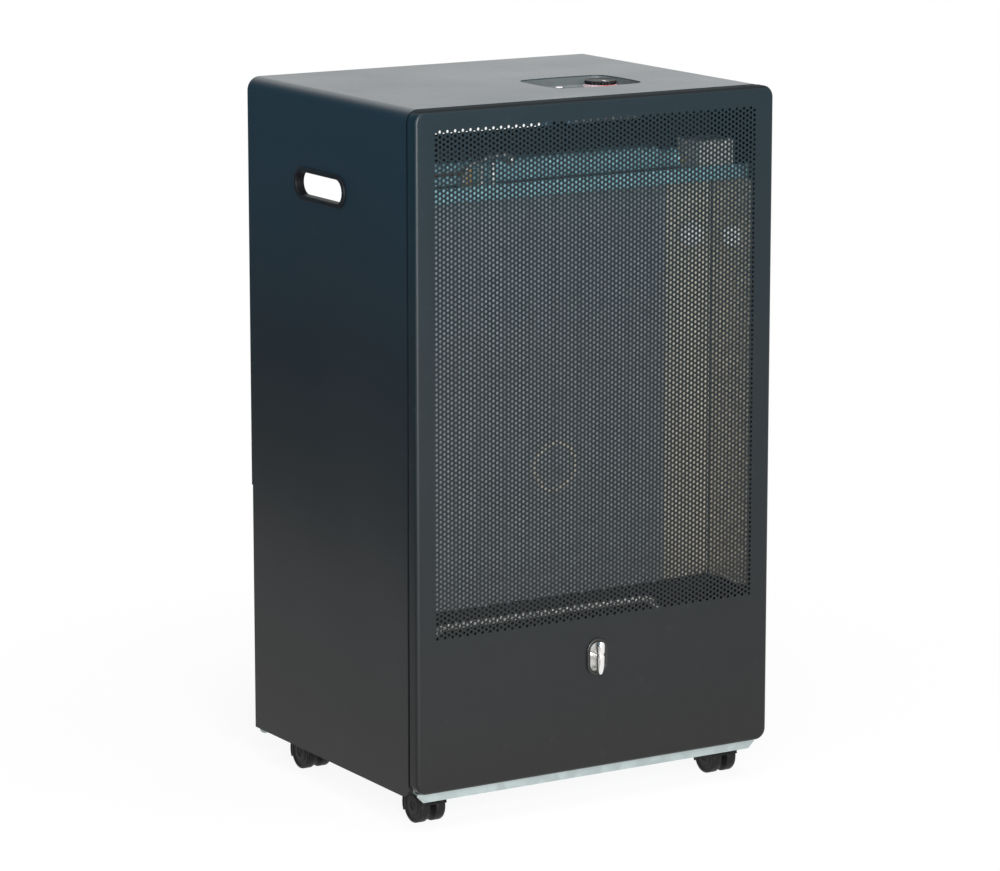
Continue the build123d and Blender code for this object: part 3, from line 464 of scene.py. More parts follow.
@dataclass(frozen=True)
class MouldedPlastic:
    """Moulded plastic with a spark-eroded grain."""

    name: str
    colour: Colour
    roughness: float = 0.42
    grain: float = 900.0
    relief: float = 0.25
    scuff: float = 0.15
    specular: float = 0.4

    def make(self) -> Material:
        """Builds the plastic.

        Returns:
            The material.
        """
        desk = ShaderDesk(self.name)
        grain = desk.noise(self.grain, 2.0)
        wear = desk.noise(45.0, 5.0, 0.7)
        tone = desk.mixed(wear.spread(0.45, 0.8, 0.0, self.scuff), self.colour,
                          toned(self.colour, 2.2, 0.01))
        rough = wear.spread(0.25, 0.75, self.roughness - 0.05, self.roughness + 0.1)
        return desk.finish({"Base Color": tone, "Roughness": rough,
                            "Specular IOR Level": self.specular,
                            "Normal": desk.bump(grain, self.relief, 0.00006)})


@dataclass(frozen=True)
class ShadeWalledCup:
    """Pressed cup with a bare floor. Its rim and wall are near black, which is painted shade in the
    recess.
    """

    name: str
    floor_y: float
    bare: Colour
    painted_shade: Colour

    def make(self) -> Material:
        """Builds the cup's surface.

        Returns:
            The material.
        """
        desk = ShaderDesk(self.name)
        _, depth, _ = desk.axes(desk.place())
        # Rim and wall take the near-black colour, which is painted shade in the recess. Only the floor
        # is bare metal.
        floor = depth.spread(self.floor_y - 0.0004, self.floor_y - 0.0002)
        blot = desk.noise(120.0, 4.0)
        bare = desk.mixed(blot.spread(0.4, 0.8, 0.0, 0.4), self.bare,
                          toned(self.bare, 0.5))
        fine = desk.noise(900.0, 3.0)
        return desk.finish({"Base Color": desk.mixed(floor, self.painted_shade, bare),
                            "Metallic": floor * 0.8,
                            "Roughness": blot.spread(0.25, 0.75, 0.22, 0.34),
                            "Normal": desk.bump(fine, 0.03, 0.0001)})


@dataclass(frozen=True)
class PrintedDial:
    """Plastic with a printed ring round the knob's axis: a pale band, a red arc and ticks."""

    name: str
    colour: Colour
    centre: tuple[float, float]
    inner: float
    outer: float
    top_z: float
    specular: float = 0.5

    def make(self) -> Material:
        """Builds the plastic and its print.

        Returns:
            The material.
        """
        desk = ShaderDesk(self.name)
        x, y, z = desk.axes(desk.place())
        dx, dy = x - self.centre[0], y - self.centre[1]
        radius = (dx * dx + dy * dy) ** 0.5
        angle = desk.node("ShaderNodeMath", {"operation": "ARCTAN2"}, {0: dy, 1: dx})
        level = z < self.top_z
        band = (radius > self.inner) * (radius < self.outer) * level
        ink = desk.node("ShaderNodeValToRGB", {"stops": [
            (0.0, (0.50, 0.40, 0.42)), (0.25, (0.62, 0.46, 0.48)), (0.42, (0.66, 0.12, 0.14)),
            (0.62, (0.70, 0.14, 0.16)), (0.8, (0.66, 0.46, 0.48)), (1.0, (0.50, 0.42, 0.44))]},
            {0: angle.spread(-math.pi, 0.0)})
        beat = desk.node("ShaderNodeMath", {"operation": "SINE"}, {0: angle * 24.0})
        ticks = (beat > 0.72) * (radius > (self.inner * 0.35 + self.outer * 0.65)) * band
        grain = desk.noise(900.0, 2.0)
        base = desk.mixed(desk.noise(40.0).spread(0.4, 0.8, 0.0, 0.3), self.colour,
                          toned(self.colour, 1.8, 0.01))
        tone = desk.mixed(ticks, desk.mixed(band, base, ink), (0.03, 0.03, 0.03))
        return desk.finish({"Base Color": tone, "Roughness": grain.spread(0.3, 0.7, 0.38, 0.48),
                            "Specular IOR Level": self.specular,
                            "Normal": desk.bump(grain, 0.2, 0.00005)})


class Finish(Enum):
    """The heater's finishes."""

    # BODY's crown is lighter and bluer than its sides: painted highlight on the top. FRONT's crown is
    # near black: painted shade along the panel's top edge. Both turn grey towards the foot: painted
    # floor reflection.
    BODY = SatinPaint("cabinet_paint", (0.004, 0.010, 0.016), (0.010, 0.010, 0.010),
                      (0.020, 0.035, 0.043), 0.27)
    FRONT = SatinPaint("front_paint", (0.003, 0.010, 0.014), (0.010, 0.010, 0.010),
                       (0.001, 0.003, 0.004), 0.95, 0.38, 0.25)
    ZINC = GalvanisedSheet("zinc_sheet", (0.62, 0.64, 0.64))
    ZINC_TRAY = GalvanisedSheet("zinc_sheet_tray", (0.40, 0.46, 0.455), 0.44)
    ZINC_BLUE = GalvanisedSheet("zinc_sheet_burner", (0.42, 0.74, 0.84), 0.45, 0.4)
    ZINC_WARM = GalvanisedSheet("zinc_sheet_reflector", (0.74, 0.68, 0.58), 0.5, 0.3)
    ZINC_SHIELD = GalvanisedSheet("zinc_sheet_shield", (0.38, 0.41, 0.43), 0.56, 0.3)
    ZINC_PALE = GalvanisedSheet("zinc_sheet_bracket", (0.80, 0.78, 0.72), 0.5, 0.3)
    HOT_STEEL = DarkenedSteel("heat_darkened_steel", (0.028, 0.030, 0.031), 0.3)
    STEEL = BrightMetal("bright_steel", (0.6, 0.6, 0.6), 0.25)
    BRIGHT = BrightMetal("polished_steel", (0.9, 0.88, 0.86), 0.3, 700.0, 0.03, 0.1)
    CHROME = BrightMetal("chrome_plate", (0.86, 0.84, 0.83), 0.16, 900.0, 0.01, 0.08)
    # The cup's near-black rim and wall are painted shade in the recess.
    CUP = ShadeWalledCup("latch_cup_plate", -0.1600, (0.62, 0.62, 0.60), (0.010, 0.010, 0.010))
    BRASS = BrightMetal("turned_brass", (0.78, 0.57, 0.28), 0.26)
    COPPER = BrightMetal("copper_pipe", (0.74, 0.40, 0.26), 0.3)
    CASTING = BrightMetal("die_casting", (0.5, 0.5, 0.5), 0.5, 1200.0, 0.2)
    PLASTIC = MouldedPlastic("moulded_black", (0.005, 0.005, 0.006), specular=0.16)
    CASTER = MouldedPlastic("caster_plastic", (0.006, 0.006, 0.006), 0.34, specular=0.16)
    WHEEL = MouldedPlastic("wheel_plastic", (0.007, 0.007, 0.007), 0.4, specular=0.16)
    BUTTON = MouldedPlastic("pale_plastic", (0.78, 0.74, 0.73), 0.25, 700.0, 0.05)
    # White whose brightness stands for glints: painted highlight on the guard's bead and on the
    # reflectors' rivet heads.
    ENAMEL = MouldedPlastic("pale_enamel", (0.94, 0.92, 0.88), 0.3, 700.0, 0.05)
    LEAD = MouldedPlastic("lead_sleeve", (0.03, 0.03, 0.032), 0.5)
    DIAL = PrintedDial("console_print", (0.095, 0.110, 0.112), (0.087, -0.031), 0.0192, 0.0262,
                       0.715)
    SKIRT = PrintedDial("knob_print", (0.006, 0.006, 0.007), (0.087, -0.031), 0.0152, 0.0190,
                        0.7177, 0.12)

    @property
    def material(self) -> Material:
        """The finish's material, made on first use."""
        found = bpy.data.materials.get(self.value.name)
        return found or self.value.make()


def dress(piece: Object, finish: Finish) -> None:
    """Gives a piece one finish all over.

    Args:
        piece: The piece.
        finish: The finish.
    """
    piece.data.materials.clear()
    piece.data.materials.append(finish.material)


# ---------------------------------------------------------------- modelling by hand
class Axis(Enum):
    """The heater's three axes, with the turn that lays a cylinder along each."""

    X = (0.0, math.pi / 2, 0.0)
    Y = (math.pi / 2, 0.0, 0.0)
    Z = (0.0, 0.0, 0.0)


class Bench:
    """Hand tools: primitives at their place, edit-mode operators, applied modifiers."""

    @staticmethod
    def clear() -> None:
        """Leaves edit mode and deselects everything."""
        if bpy.context.mode != "OBJECT":
            bpy.ops.object.mode_set(mode="OBJECT")
        bpy.ops.object.select_all(action="DESELECT")

    @classmethod
    def only(cls, piece: Object) -> None:
        """Selects one piece and makes it active."""
        cls.clear()
        piece.select_set(True)
        bpy.context.view_layer.objects.active = piece

    @classmethod
    def settle(cls, piece: Object, name: str) -> Object:
        """Names a piece and puts its place into its mesh.

        Args:
            piece: The piece.
            name: Its name.

        Returns:
            The same piece, at the origin.
        """
        piece.name = name
        piece.data.name = name
        cls.only(piece)
        bpy.ops.object.transform_apply(location=True, rotation=True, scale=True)
        return piece

    @classmethod
    def cube(cls, name: str, low: Point, high: Point) -> Object:
        """Adds a box between two corners.

        Args:
            name: The piece's name.
            low: Lowest corner.
            high: Highest corner.

        Returns:
            The box.
        """
        cls.clear()
        middle = [(a + b) / 2 for a, b in zip(low, high)]
        bpy.ops.mesh.primitive_cube_add(size=1.0, location=middle)
        piece = bpy.context.object
        piece.scale = [b - a for a, b in zip(low, high)]
        return cls.settle(piece, name)

    @classmethod
    def cylinder(cls, name: str, middle: Point, radius: float, length: float,
                 axis: Axis = Axis.Z, sides: int = 32) -> Object:
        """Adds a cylinder.

        Args:
            name: The piece's name.
            middle: Its centre.
            radius: Its radius.
            length: Its length along the axis.
            axis: The axis it lies along.
            sides: Facets round it.

        Returns:
            The cylinder.
        """
        cls.clear()
        bpy.ops.mesh.primitive_cylinder_add(vertices=sides, radius=radius, depth=length,
                                            location=middle, rotation=axis.value)
        return cls.settle(bpy.context.object, name)

    @classmethod
    def disc(cls, name: str, middle: Point, radius: float, axis: Axis = Axis.Z,
             sides: int = 32, turn: float = 0.0) -> Object:
        """Adds a flat filled circle.

        Args:
            name: The piece's name.
            middle: Its centre.
            radius: Its radius.
            axis: The axis it faces along.
            sides: Corners round it.
            turn: Turn about its own axis before it is laid down.

        Returns:
            The disc.
        """
        cls.clear()
        bpy.ops.mesh.primitive_circle_add(vertices=sides, radius=radius, fill_type="NGON",
                                          rotation=(0.0, 0.0, turn))
        piece = cls.settle(bpy.context.object, name)
        piece.rotation_euler = axis.value
        piece.location = middle
        return cls.settle(piece, name)

    @classmethod
    @contextmanager
    def editing(cls, piece: Object) -> Iterator[None]:
        """Opens a piece in edit mode with nothing selected, and closes it again."""
        cls.only(piece)
        bpy.ops.object.mode_set(mode="EDIT")
        bpy.ops.mesh.select_all(action="DESELECT")
        yield
        bpy.ops.object.mode_set(mode="OBJECT")

    @staticmethod
    def pick(kind: str, test: Callable[[object], bool]) -> int:
        """Selects what passes a test in the open mesh, and nothing else.

        Args:
            kind: VERT, EDGE or FACE.
            test: Says whether an element is wanted.

        Returns:
            How many were selected.
        """
        bpy.ops.mesh.select_mode(type=kind)
        bpy.ops.mesh.select_all(action="DESELECT")
        mesh = bpy.context.edit_object.data
        shape = bmesh.from_edit_mesh(mesh)
        elements = {"VERT": shape.verts, "EDGE": shape.edges, "FACE": shape.faces}[kind]
        count = 0
        for element in elements:
            if test(element):
                element.select_set(True)
                count += 1
        shape.select_flush_mode()
        bmesh.update_edit_mesh(mesh)
        return count

    @classmethod
    def remove(cls, piece: Object, kind: str, test: Callable[[object], bool]) -> None:
        """Deletes what passes a test.

        Args:
            piece: The piece.
            kind: VERT, EDGE or FACE.
            test: Says whether an element goes.
        """
        with cls.editing(piece):
            if cls.pick(kind, test):
                bpy.ops.mesh.delete(type=kind)

    @classmethod
    def bevel(cls, piece: Object, width: float, segments: int,
              test: Callable[[object], bool]) -> None:
        """Rounds the edges that pass a test.

        Args:
            piece: The piece.
            width: Radius of the rounding.
            segments: Steps across it.
            test: Says whether an edge is rounded.
        """
        with cls.editing(piece):
            if cls.pick("EDGE", test):
                bpy.ops.mesh.bevel(offset=width, segments=segments, affect="EDGES",
                                   clamp_overlap=True)

    @classmethod
    def modify(cls, piece: Object, kind: str, **settings: object) -> Object:
        """Adds a modifier and applies it.

        Args:
            piece: The piece.
            kind: The modifier's type.
            settings: Its properties.

        Returns:
            The same piece.
        """
        cls.only(piece)
        modifier = piece.modifiers.new(kind.lower(), kind)
        for key, value in settings.items():
            setattr(modifier, key, value)
        bpy.ops.object.modifier_apply(modifier=modifier.name)
        return piece

    @classmethod
    def cut(cls, piece: Object, cutter: Object, operation: str = "DIFFERENCE") -> Object:
        """Cuts a piece with another, which is used up.

        Args:
            piece: The piece to cut.
            cutter: The shape that cuts.
            operation: DIFFERENCE, UNION or INTERSECT.

        Returns:
            The cut piece.
        """
        cls.modify(piece, "BOOLEAN", operation=operation, object=cutter, solver="EXACT")
        bpy.data.objects.remove(cutter)
        return piece

    @classmethod
    def join(cls, name: str, parts: Sequence[Object]) -> Object:
        """Joins parts into one piece.

        Args:
            name: The joined piece's name.
            parts: The parts, used up.

        Returns:
            The joined piece.
        """
        cls.clear()
        for part in parts:
            part.select_set(True)
        bpy.context.view_layer.objects.active = parts[0]
        bpy.ops.object.join()
        return cls.settle(bpy.context.object, name)

    @classmethod
    def twin(cls, piece: Object, name: str, shift: Point) -> Object:
        """Copies a piece with a mesh of its own, moved.

        Args:
            piece: The piece to copy.
            name: The copy's name.
            shift: How far it is moved.

        Returns:
            The copy.
        """
        copy = piece.copy()
        copy.data = piece.data.copy()
        bpy.context.scene.collection.objects.link(copy)
        copy.location = shift
        return cls.settle(copy, name)

    @classmethod
    def mirrored(cls, piece: Object, name: str, about_x: float = 0.0) -> Object:
        """Copies a piece to the other side of an upright plane.

        Args:
            piece: The piece to copy.
            name: The copy's name.
            about_x: Where the plane stands.

        Returns:
            The copy, with its faces outwards.
        """
        copy = piece.copy()
        copy.data = piece.data.copy()
        bpy.context.scene.collection.objects.link(copy)
        copy.scale = (-1.0, 1.0, 1.0)
        copy.location = (2 * about_x, 0.0, 0.0)
        cls.settle(copy, name)
        with cls.editing(copy):
            bpy.ops.mesh.select_all(action="SELECT")
            bpy.ops.mesh.normals_make_consistent(inside=False)
        return copy

    @classmethod
    def lathe(cls, name: str, profile: Sequence[tuple[float, float]], middle: Point,
              axis: Axis = Axis.Z, steps: int = 32) -> Object:
        """Turns a profile of radius and height round an axis.

        Args:
            name: The piece's name.
            profile: Radius and height pairs from one end to the other.
            middle: Where the profile's height 0 on the axis goes.
            axis: The axis it is turned round.
            steps: Facets round it.

        Returns:
            The turned piece.
        """
        cls.clear()
        bpy.ops.mesh.primitive_circle_add(vertices=3, radius=0.001, fill_type="NOTHING")
        piece = bpy.context.object
        with cls.editing(piece):
            bpy.ops.mesh.select_all(action="SELECT")
            bpy.ops.mesh.delete(type="VERT")
            shape = bmesh.from_edit_mesh(piece.data)
            rail = [shape.verts.new((radius, 0.0, height)) for radius, height in profile]
            for first, second in zip(rail, rail[1:]):
                shape.edges.new((first, second))
            bmesh.update_edit_mesh(piece.data)
            bpy.ops.mesh.select_all(action="SELECT")
            bpy.ops.mesh.spin(steps=steps, angle=2 * math.pi, center=(0, 0, 0), axis=(0, 0, 1))
            bpy.ops.mesh.select_all(action="SELECT")
            bpy.ops.mesh.remove_doubles(threshold=1e-6)
            bpy.ops.mesh.normals_make_consistent(inside=False)
        piece.rotation_euler = axis.value
        piece.location = middle
        return cls.settle(piece, name)

    @classmethod
    def obround(cls, name: str, middle: Point, length: float, height: float, axis: Axis,
                along: Vector, sides: int = 32) -> Object:
        """Adds a flat slot shape with round ends.

        Args:
            name: The piece's name.
            middle: Its centre.
            length: Its length over the round ends.
            height: Its width.
            axis: The axis it faces along.
            along: Direction of its length.
            sides: Corners of both ends together.

        Returns:
            The flat shape.
        """
        piece = cls.disc(name, middle, height / 2, axis, sides, math.pi / sides)
        half = (length - height) / 2
        centre = Vector(middle)
        for sign in (-1.0, 1.0):
            with cls.editing(piece):
                cls.pick("VERT", lambda v, s=sign: s * (v.co - centre).dot(along) > 1e-7)
                bpy.ops.transform.translate(value=along * (sign * half))
        return piece

    @classmethod
    def thicken(cls, piece: Object, push: Vector) -> Object:
        """Extrudes a flat piece into a solid.

        Args:
            piece: The flat piece.
            push: Direction and distance.

        Returns:
            The solid.
        """
        with cls.editing(piece):
            bpy.ops.mesh.select_all(action="SELECT")
            bpy.ops.mesh.extrude_region_move(TRANSFORM_OT_translate={"value": push})
            bpy.ops.mesh.select_all(action="SELECT")
            bpy.ops.mesh.normals_make_consistent(inside=False)
        return piece

    @classmethod
    def smooth(cls, piece: Object, degrees: float = 32.0) -> Object:
        """Shades faces smooth where they meet at less than an angle.

        Args:
            piece: The piece.
            degrees: The limit angle.

        Returns:
            The same piece.
        """
        cls.only(piece)
        bpy.ops.object.shade_smooth_by_angle(angle=math.radians(degrees))
        return piece


@dataclass
class Placed:
    """A finished piece with what it stands for."""

    piece: Object
    body: str
    slot: str
    finish: Finish
    stands_for: tuple[str, ...] = ()

    def enter(self) -> Object:
        """Dresses the piece and puts it on its body.

        Returns:
            The piece.
        """
        dress(self.piece, self.finish)
        if self.stands_for:
            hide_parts(*self.stands_for)
        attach(self.piece, self.body)
        return self.piece


def edge_along(edge: bmesh.types.BMEdge, axis: int) -> bool:
    """Whether an edge lies along an axis.

    Args:
        edge: The edge.
        axis: 0, 1 or 2 for X, Y or Z.

    Returns:
        True if it does.
    """
    run = edge.verts[1].co - edge.verts[0].co
    return run.length > 0 and abs(run[axis]) > 0.999 * run.length


def is_sharp(edge: bmesh.types.BMEdge) -> bool:
    """Whether an edge stands between two faces at more than half a radian."""
    return edge.calc_face_angle(0.0) > 0.5


# ---------------------------------------------------------------- cabinet
@dataclass
class SubAssembly:
    """What the heater's sub-assemblies share: the sizes that more than one of them uses."""

    half_width: float = 0.210
    top_z: float = 0.722
    sheet: float = 0.001
    face_y: float = -0.164
    latch_z: float = 0.156
    handle_y: float = 0.025
    handle_z: float = 0.626
    console_x: float = 0.059
    console_y: float = -0.037
    console_length: float = 0.108
    console_width: float = 0.088
    past: float = 0.01  # how far a cutter runs past the faces that it opens
    near: float = 1e-5  # how close a point lies to a plane that it is on


@dataclass
class CabinetBody(SubAssembly):
    """The wrap-around sheet with its front returns, handle holes and console opening."""

    front_y: float = -0.146
    back_y: float = 0.174
    bottom_z: float = 0.034
    bend: float = 0.014
    returns: float = 0.012
    toe: float = 0.012
    hole_length: float = 0.0986
    hole_height: float = 0.0286
    cutter_half: float = 0.25  # reaches past both sides
    rounder_length: float = 0.6

    def folded_sheet(self) -> Object:
        """Folds the sheet: sides, top, long bends and front returns.

        Returns:
            The sheet with its thickness.
        """
        low_z = self.bottom_z - self.returns
        piece = Bench.cube("cabinet_sheet", (-self.half_width, self.front_y, low_z),
                           (self.half_width, self.back_y, self.top_z))
        Bench.remove(piece, "FACE", lambda f: f.normal.z < -0.9 or f.normal.y > 0.9)
        Bench.bevel(piece, self.bend, 10,
                    lambda e: edge_along(e, 1) and e.verts[0].co.z > self.top_z - 1e-4)
        with Bench.editing(piece):
            Bench.pick("FACE", lambda f: f.normal.y < -0.9)
            bpy.ops.mesh.inset(thickness=self.returns, depth=0.0, use_boundary=True)
            bpy.ops.mesh.delete(type="FACE")
            bpy.ops.mesh.select_all(action="SELECT")
            bpy.ops.mesh.bisect(plane_co=(0, 0, self.bottom_z), plane_no=(0, 0, 1),
                                clear_inner=True)
        return Bench.modify(piece, "SOLIDIFY", thickness=self.sheet, offset=-1.0,
                            use_even_offset=True)

    def toe_cutter(self) -> Object:
        """What rounds the lower front corner of both sides.

        Returns:
            The cutter.
        """
        y, z = self.front_y + self.toe, self.bottom_z + self.toe
        low = (-self.cutter_half, self.front_y - self.past, self.bottom_z - self.past)
        corner = Bench.cube("toe_corner", low, (self.cutter_half, y, z))
        rounder = Bench.cylinder("toe_rounder", (0, y, z), self.toe, self.rounder_length, Axis.X, 64)
        return Bench.cut(corner, rounder)

    def console_cutter(self) -> Object:
        """The bowed outline of the console opening as a solid.

        Returns:
            The cutter.
        """
        return bowed_block("console_hole", (self.console_x, self.console_y), self.console_length,
                           self.console_width, self.top_z - self.past, self.top_z + self.past)

    def build(self) -> list[Placed]:
        """Builds the sheet.

        Returns:
            The finished piece.
        """
        piece = self.folded_sheet()
        Bench.cut(piece, self.toe_cutter())
        slot = Bench.obround("handle_hole", (-self.cutter_half, self.handle_y, self.handle_z),
                             self.hole_length, self.hole_height, Axis.X, Vector((0, 1, 0)), 48)
        Bench.cut(piece, Bench.thicken(slot, Vector((2 * self.cutter_half, 0, 0))))
        Bench.cut(piece, self.console_cutter())
        Bench.smooth(piece, 20.0)
        return [Placed(piece, "cabinet", "body_paint", Finish.BODY, ("cabinet_shell",))]


def bowed_block(name: str, centre: tuple[float, float], length: float, width: float,
                low_z: float, high_z: float, bow: float = 0.003,
                corner: float = 0.010) -> Object:
    """A block with slightly bowed sides and rounded upright corners.

    Args:
        name: The piece's name.
        centre: X and Y of its middle.
        length: Size along X over the bows.
        width: Size along Y over the bows.
        low_z: Its underside.
        high_z: Its top.
        bow: How far each side bulges.
        corner: Radius of the corners.

    Returns:
        The block.
    """
    x, y = centre
    shortest_side, at_side = 0.03, 0.999
    a, b = length / 2 - bow, width / 2 - bow
    piece = Bench.cube(name, (x - a, y - b, low_z), (x + a, y + b, high_z))
    Bench.bevel(piece, corner, 6, lambda e: edge_along(e, 2))
    with Bench.editing(piece):
        Bench.pick("EDGE", lambda e: (edge_along(e, 0) or edge_along(e, 1))
                   and e.calc_length() > shortest_side)
        bpy.ops.mesh.subdivide(number_cuts=11)
    with Bench.editing(piece):
        Bench.pick("VERT", lambda v: True)
        shape = bmesh.from_edit_mesh(piece.data)
        for vertex in shape.verts:
            u, v = (vertex.co.x - x) / a, (vertex.co.y - y) / b
            if abs(v) > at_side:
                vertex.co.y += math.copysign(bow * (1 - u * u), v)
            if abs(u) > at_side:
                vertex.co.x += math.copysign(bow * (1 - v * v), u)
        bmesh.update_edit_mesh(piece.data)
    return piece


# ---------------------------------------------------------------- front panel
@dataclass
class FrontPanel(SubAssembly):
    """Pressed front panel with its punched field of round holes."""

    rim_y: float = -0.150
    low_z: float = 0.040
    corner: float = 0.012
    soft_edge: float = 0.004
    field_half: float = 0.188
    field_low: float = 0.195
    field_high: float = 0.704
    pitch: float = 0.005
    hole_reach: float = 0.00172
    columns: int = 87
    rows: int = 101
    spare: int = 4  # columns and rows that lie past the field's edge and are trimmed
    side_margin: float = 0.0018  # a hole's middle stays this far inside the field's sides
    end_margin: float = 0.002  # and this far inside its top and foot
    cut_depth: float = 0.004  # how deep cutters go behind the face
    latch_hole: tuple[float, float] = (0.0346, 0.0206)
    hinge_x: float = 0.120
    hinge_y: float = -0.1487
    hinge_z: float = 0.7175
    knuckle_radius: float = 0.0024
    knuckle_half: float = 0.008
    tab_top: float = 0.7212
    bore_radius: float = 0.00105
    bore_length: float = 0.03

    def pressed_sheet(self) -> Object:
        """Presses the panel: face, soft edge, rim, window and latch hole.

        Returns:
            The panel.
        """
        piece = Bench.cube("front_sheet", (-self.half_width, self.face_y, self.low_z),
                           (self.half_width, self.rim_y, self.top_z))
        Bench.remove(piece, "FACE", lambda f: f.normal.y > 0.9)
        Bench.bevel(piece, self.corner, 10, lambda e: edge_along(e, 1))
        Bench.bevel(piece, self.soft_edge, 6, lambda e: all(
            v.co.y < self.face_y + self.near for v in e.verts))
        Bench.modify(piece, "SOLIDIFY", thickness=self.sheet, offset=-1.0, use_even_offset=True)
        window = Bench.cube("window", (-self.field_half, self.face_y - self.past, self.field_low),
                            (self.field_half, self.face_y + self.cut_depth, self.field_high))
        Bench.cut(piece, window)
        hole = Bench.obround("latch_hole", (0, self.face_y - self.past, self.latch_z),
                             *self.latch_hole, Axis.Y, Vector((0, 0, 1)), 48)
        Bench.cut(piece, Bench.thicken(hole, Vector((0, self.past + self.cut_depth, 0))))
        return piece

    def knuckles(self) -> list[Object]:
        """Makes the two hinge knuckles behind the panel's upper edge.

        Returns:
            The knuckles.
        """
        made = []
        y, z, half = self.hinge_y, self.hinge_z, self.knuckle_half
        for x in (-self.hinge_x, self.hinge_x):
            barrel = Bench.cylinder("knuckle", (x, y, z), self.knuckle_radius, 2 * half, Axis.X, 24)
            tab = Bench.cube("knuckle_tab", (x - half, y - self.knuckle_radius, z),
                             (x + half, y, self.tab_top))
            bore = Bench.cylinder("knuckle_bore", (x, y, z), self.bore_radius,
                                  self.bore_length, Axis.X, 16)
            Bench.cut(barrel, tab, "UNION")
            made.append(Bench.cut(barrel, bore))
        return made

    def punched_field(self) -> tuple[Object, Object]:
        """Punches the field: one six-cornered cell, repeated on a 60 degree stagger.

        Returns:
            The lower and the upper half of the field.
        """
        reach = self.pitch / math.sqrt(3)
        step = 1.5 * reach
        columns, rows = self.columns + self.spare, self.rows + self.spare
        x0 = -step * (columns - 1) / 2
        middle = (self.field_low + self.field_high) / 2
        z0 = middle - self.pitch * (rows - 1) / 2 - self.pitch / 4
        cell = Bench.disc("punched_field", (x0, self.face_y, z0), reach, Axis.Y, 6, math.pi / 6)
        with Bench.editing(cell):
            bpy.ops.mesh.select_all(action="SELECT")
            bpy.ops.mesh.inset(thickness=(reach - self.hole_reach) * math.cos(math.pi / 6),
                               depth=0.0)
        twin = Bench.twin(cell, "punched_neighbour", (step, 0, self.pitch / 2))
        field = Bench.join("punched_field", [cell, twin])
        for count, offset in (((columns + 1) // 2, (2 * step, 0, 0)), (rows, (0, 0, self.pitch))):
            Bench.modify(field, "ARRAY", count=count, use_relative_offset=False,
                         use_constant_offset=True, constant_offset_displace=offset,
                         use_merge_vertices=True, merge_threshold=0.00002)
        with Bench.editing(field):
            for place, normal in (((self.field_half, 0, 0), (1, 0, 0)),
                                  ((-self.field_half, 0, 0), (-1, 0, 0)),
                                  ((0, 0, self.field_high), (0, 0, 1)),
                                  ((0, 0, self.field_low), (0, 0, -1))):
                bpy.ops.mesh.select_all(action="SELECT")
                bpy.ops.mesh.bisect(plane_co=place, plane_no=normal, clear_outer=True)
        self.open_holes(field)
        Bench.modify(field, "SOLIDIFY", thickness=self.sheet, offset=-1.0)
        with Bench.editing(field):
            Bench.pick("FACE", lambda f: f.calc_center_median().z > middle)
            bpy.ops.mesh.separate(type="SELECTED")
        halves = sorted((o for o in bpy.data.objects if o.name.startswith("punched_field")),
                        key=lambda o: sum(v.co.z for v in o.data.vertices) / len(o.data.vertices))
        return (Bench.settle(halves[0], "punched_field_low"),
                Bench.settle(halves[1], "punched_field_high"))

    def open_holes(self, field: Object) -> None:
        """Deletes the inner face of every whole cell inside the field's edge.

        Args:
            field: The sheet of cells.
        """
        full = 1.5 * math.sqrt(3) * self.hole_reach ** 2
        side = self.field_half - self.side_margin
        low, high = self.field_low + self.end_margin, self.field_high - self.end_margin

        def is_hole(face: bmesh.types.BMFace) -> bool:
            """Whether a face is the middle of a whole cell."""
            centre = face.calc_center_median()
            return (len(face.verts) == 6 and abs(face.calc_area() / full - 1) < 0.02
                    and abs(centre.x) < side and low < centre.z < high)

        Bench.remove(field, "FACE", is_hole)

    def build(self) -> list[Placed]:
        """Builds the panel and its field.

        Returns:
            The finished pieces.
        """
        panel = Bench.join("front_sheet", [self.pressed_sheet(), *self.knuckles()])
        Bench.smooth(panel, 25.0)
        low, high = self.punched_field()
        return [
            Placed(panel, "front_door", "body_paint", Finish.FRONT, ("front_panel",)),
            Placed(low, "front_door", "body_paint", Finish.FRONT, ("front_grille",)),
            Placed(high, "front_door", "body_paint", Finish.FRONT, ("front_grille",)),
        ]


# ---------------------------------------------------------------- handles
@dataclass
class Handles(SubAssembly):
    """Moulded liners of the two handle openings."""

    length: float = 0.104
    height: float = 0.034
    rim: float = 0.005
    rise: float = 0.002
    wall: float = 0.002
    sleeve: float = 0.008
    soft: float = 0.0012

    def oval(self, name: str, x: float, inset: float, depth: float) -> Object:
        """A solid slot shape from x inwards.

        Args:
            name: The piece's name.
            x: Its outer face.
            inset: How far it is drawn in from the rim's outline.
            depth: Its thickness.

        Returns:
            The solid.
        """
        flat = Bench.obround(name, (x, self.handle_y, self.handle_z), self.length - 2 * inset,
                             self.height - 2 * inset, Axis.X, Vector((0, 1, 0)), 64)
        return Bench.thicken(flat, Vector((depth, 0, 0)))

    def build(self) -> list[Placed]:
        """Builds both liners.

        Returns:
            The finished pieces.
        """
        outer = -self.half_width - self.rise
        liner = self.oval("handle_liner_left", outer, 0.0, self.rise)
        sleeve = self.oval("handle_sleeve", -self.half_width - self.rise / 2,
                           self.rim - self.wall, self.sleeve + self.rise / 2)
        Bench.cut(liner, sleeve, "UNION")
        Bench.cut(liner, self.oval("handle_way", outer - self.past, self.rim, 4 * self.past))
        Bench.bevel(liner, self.soft, 4, lambda e: all(v.co.x < outer + self.near for v in e.verts)
                    and is_sharp(e))
        Bench.smooth(liner, 40.0)
        other = Bench.smooth(Bench.mirrored(liner, "handle_liner_right"), 40.0)
        return [Placed(piece, "cabinet", "black_plastic", Finish.PLASTIC, (f"handle_insert_{side}",))
                for piece, side in ((liner, "left"), (other, "right"))]


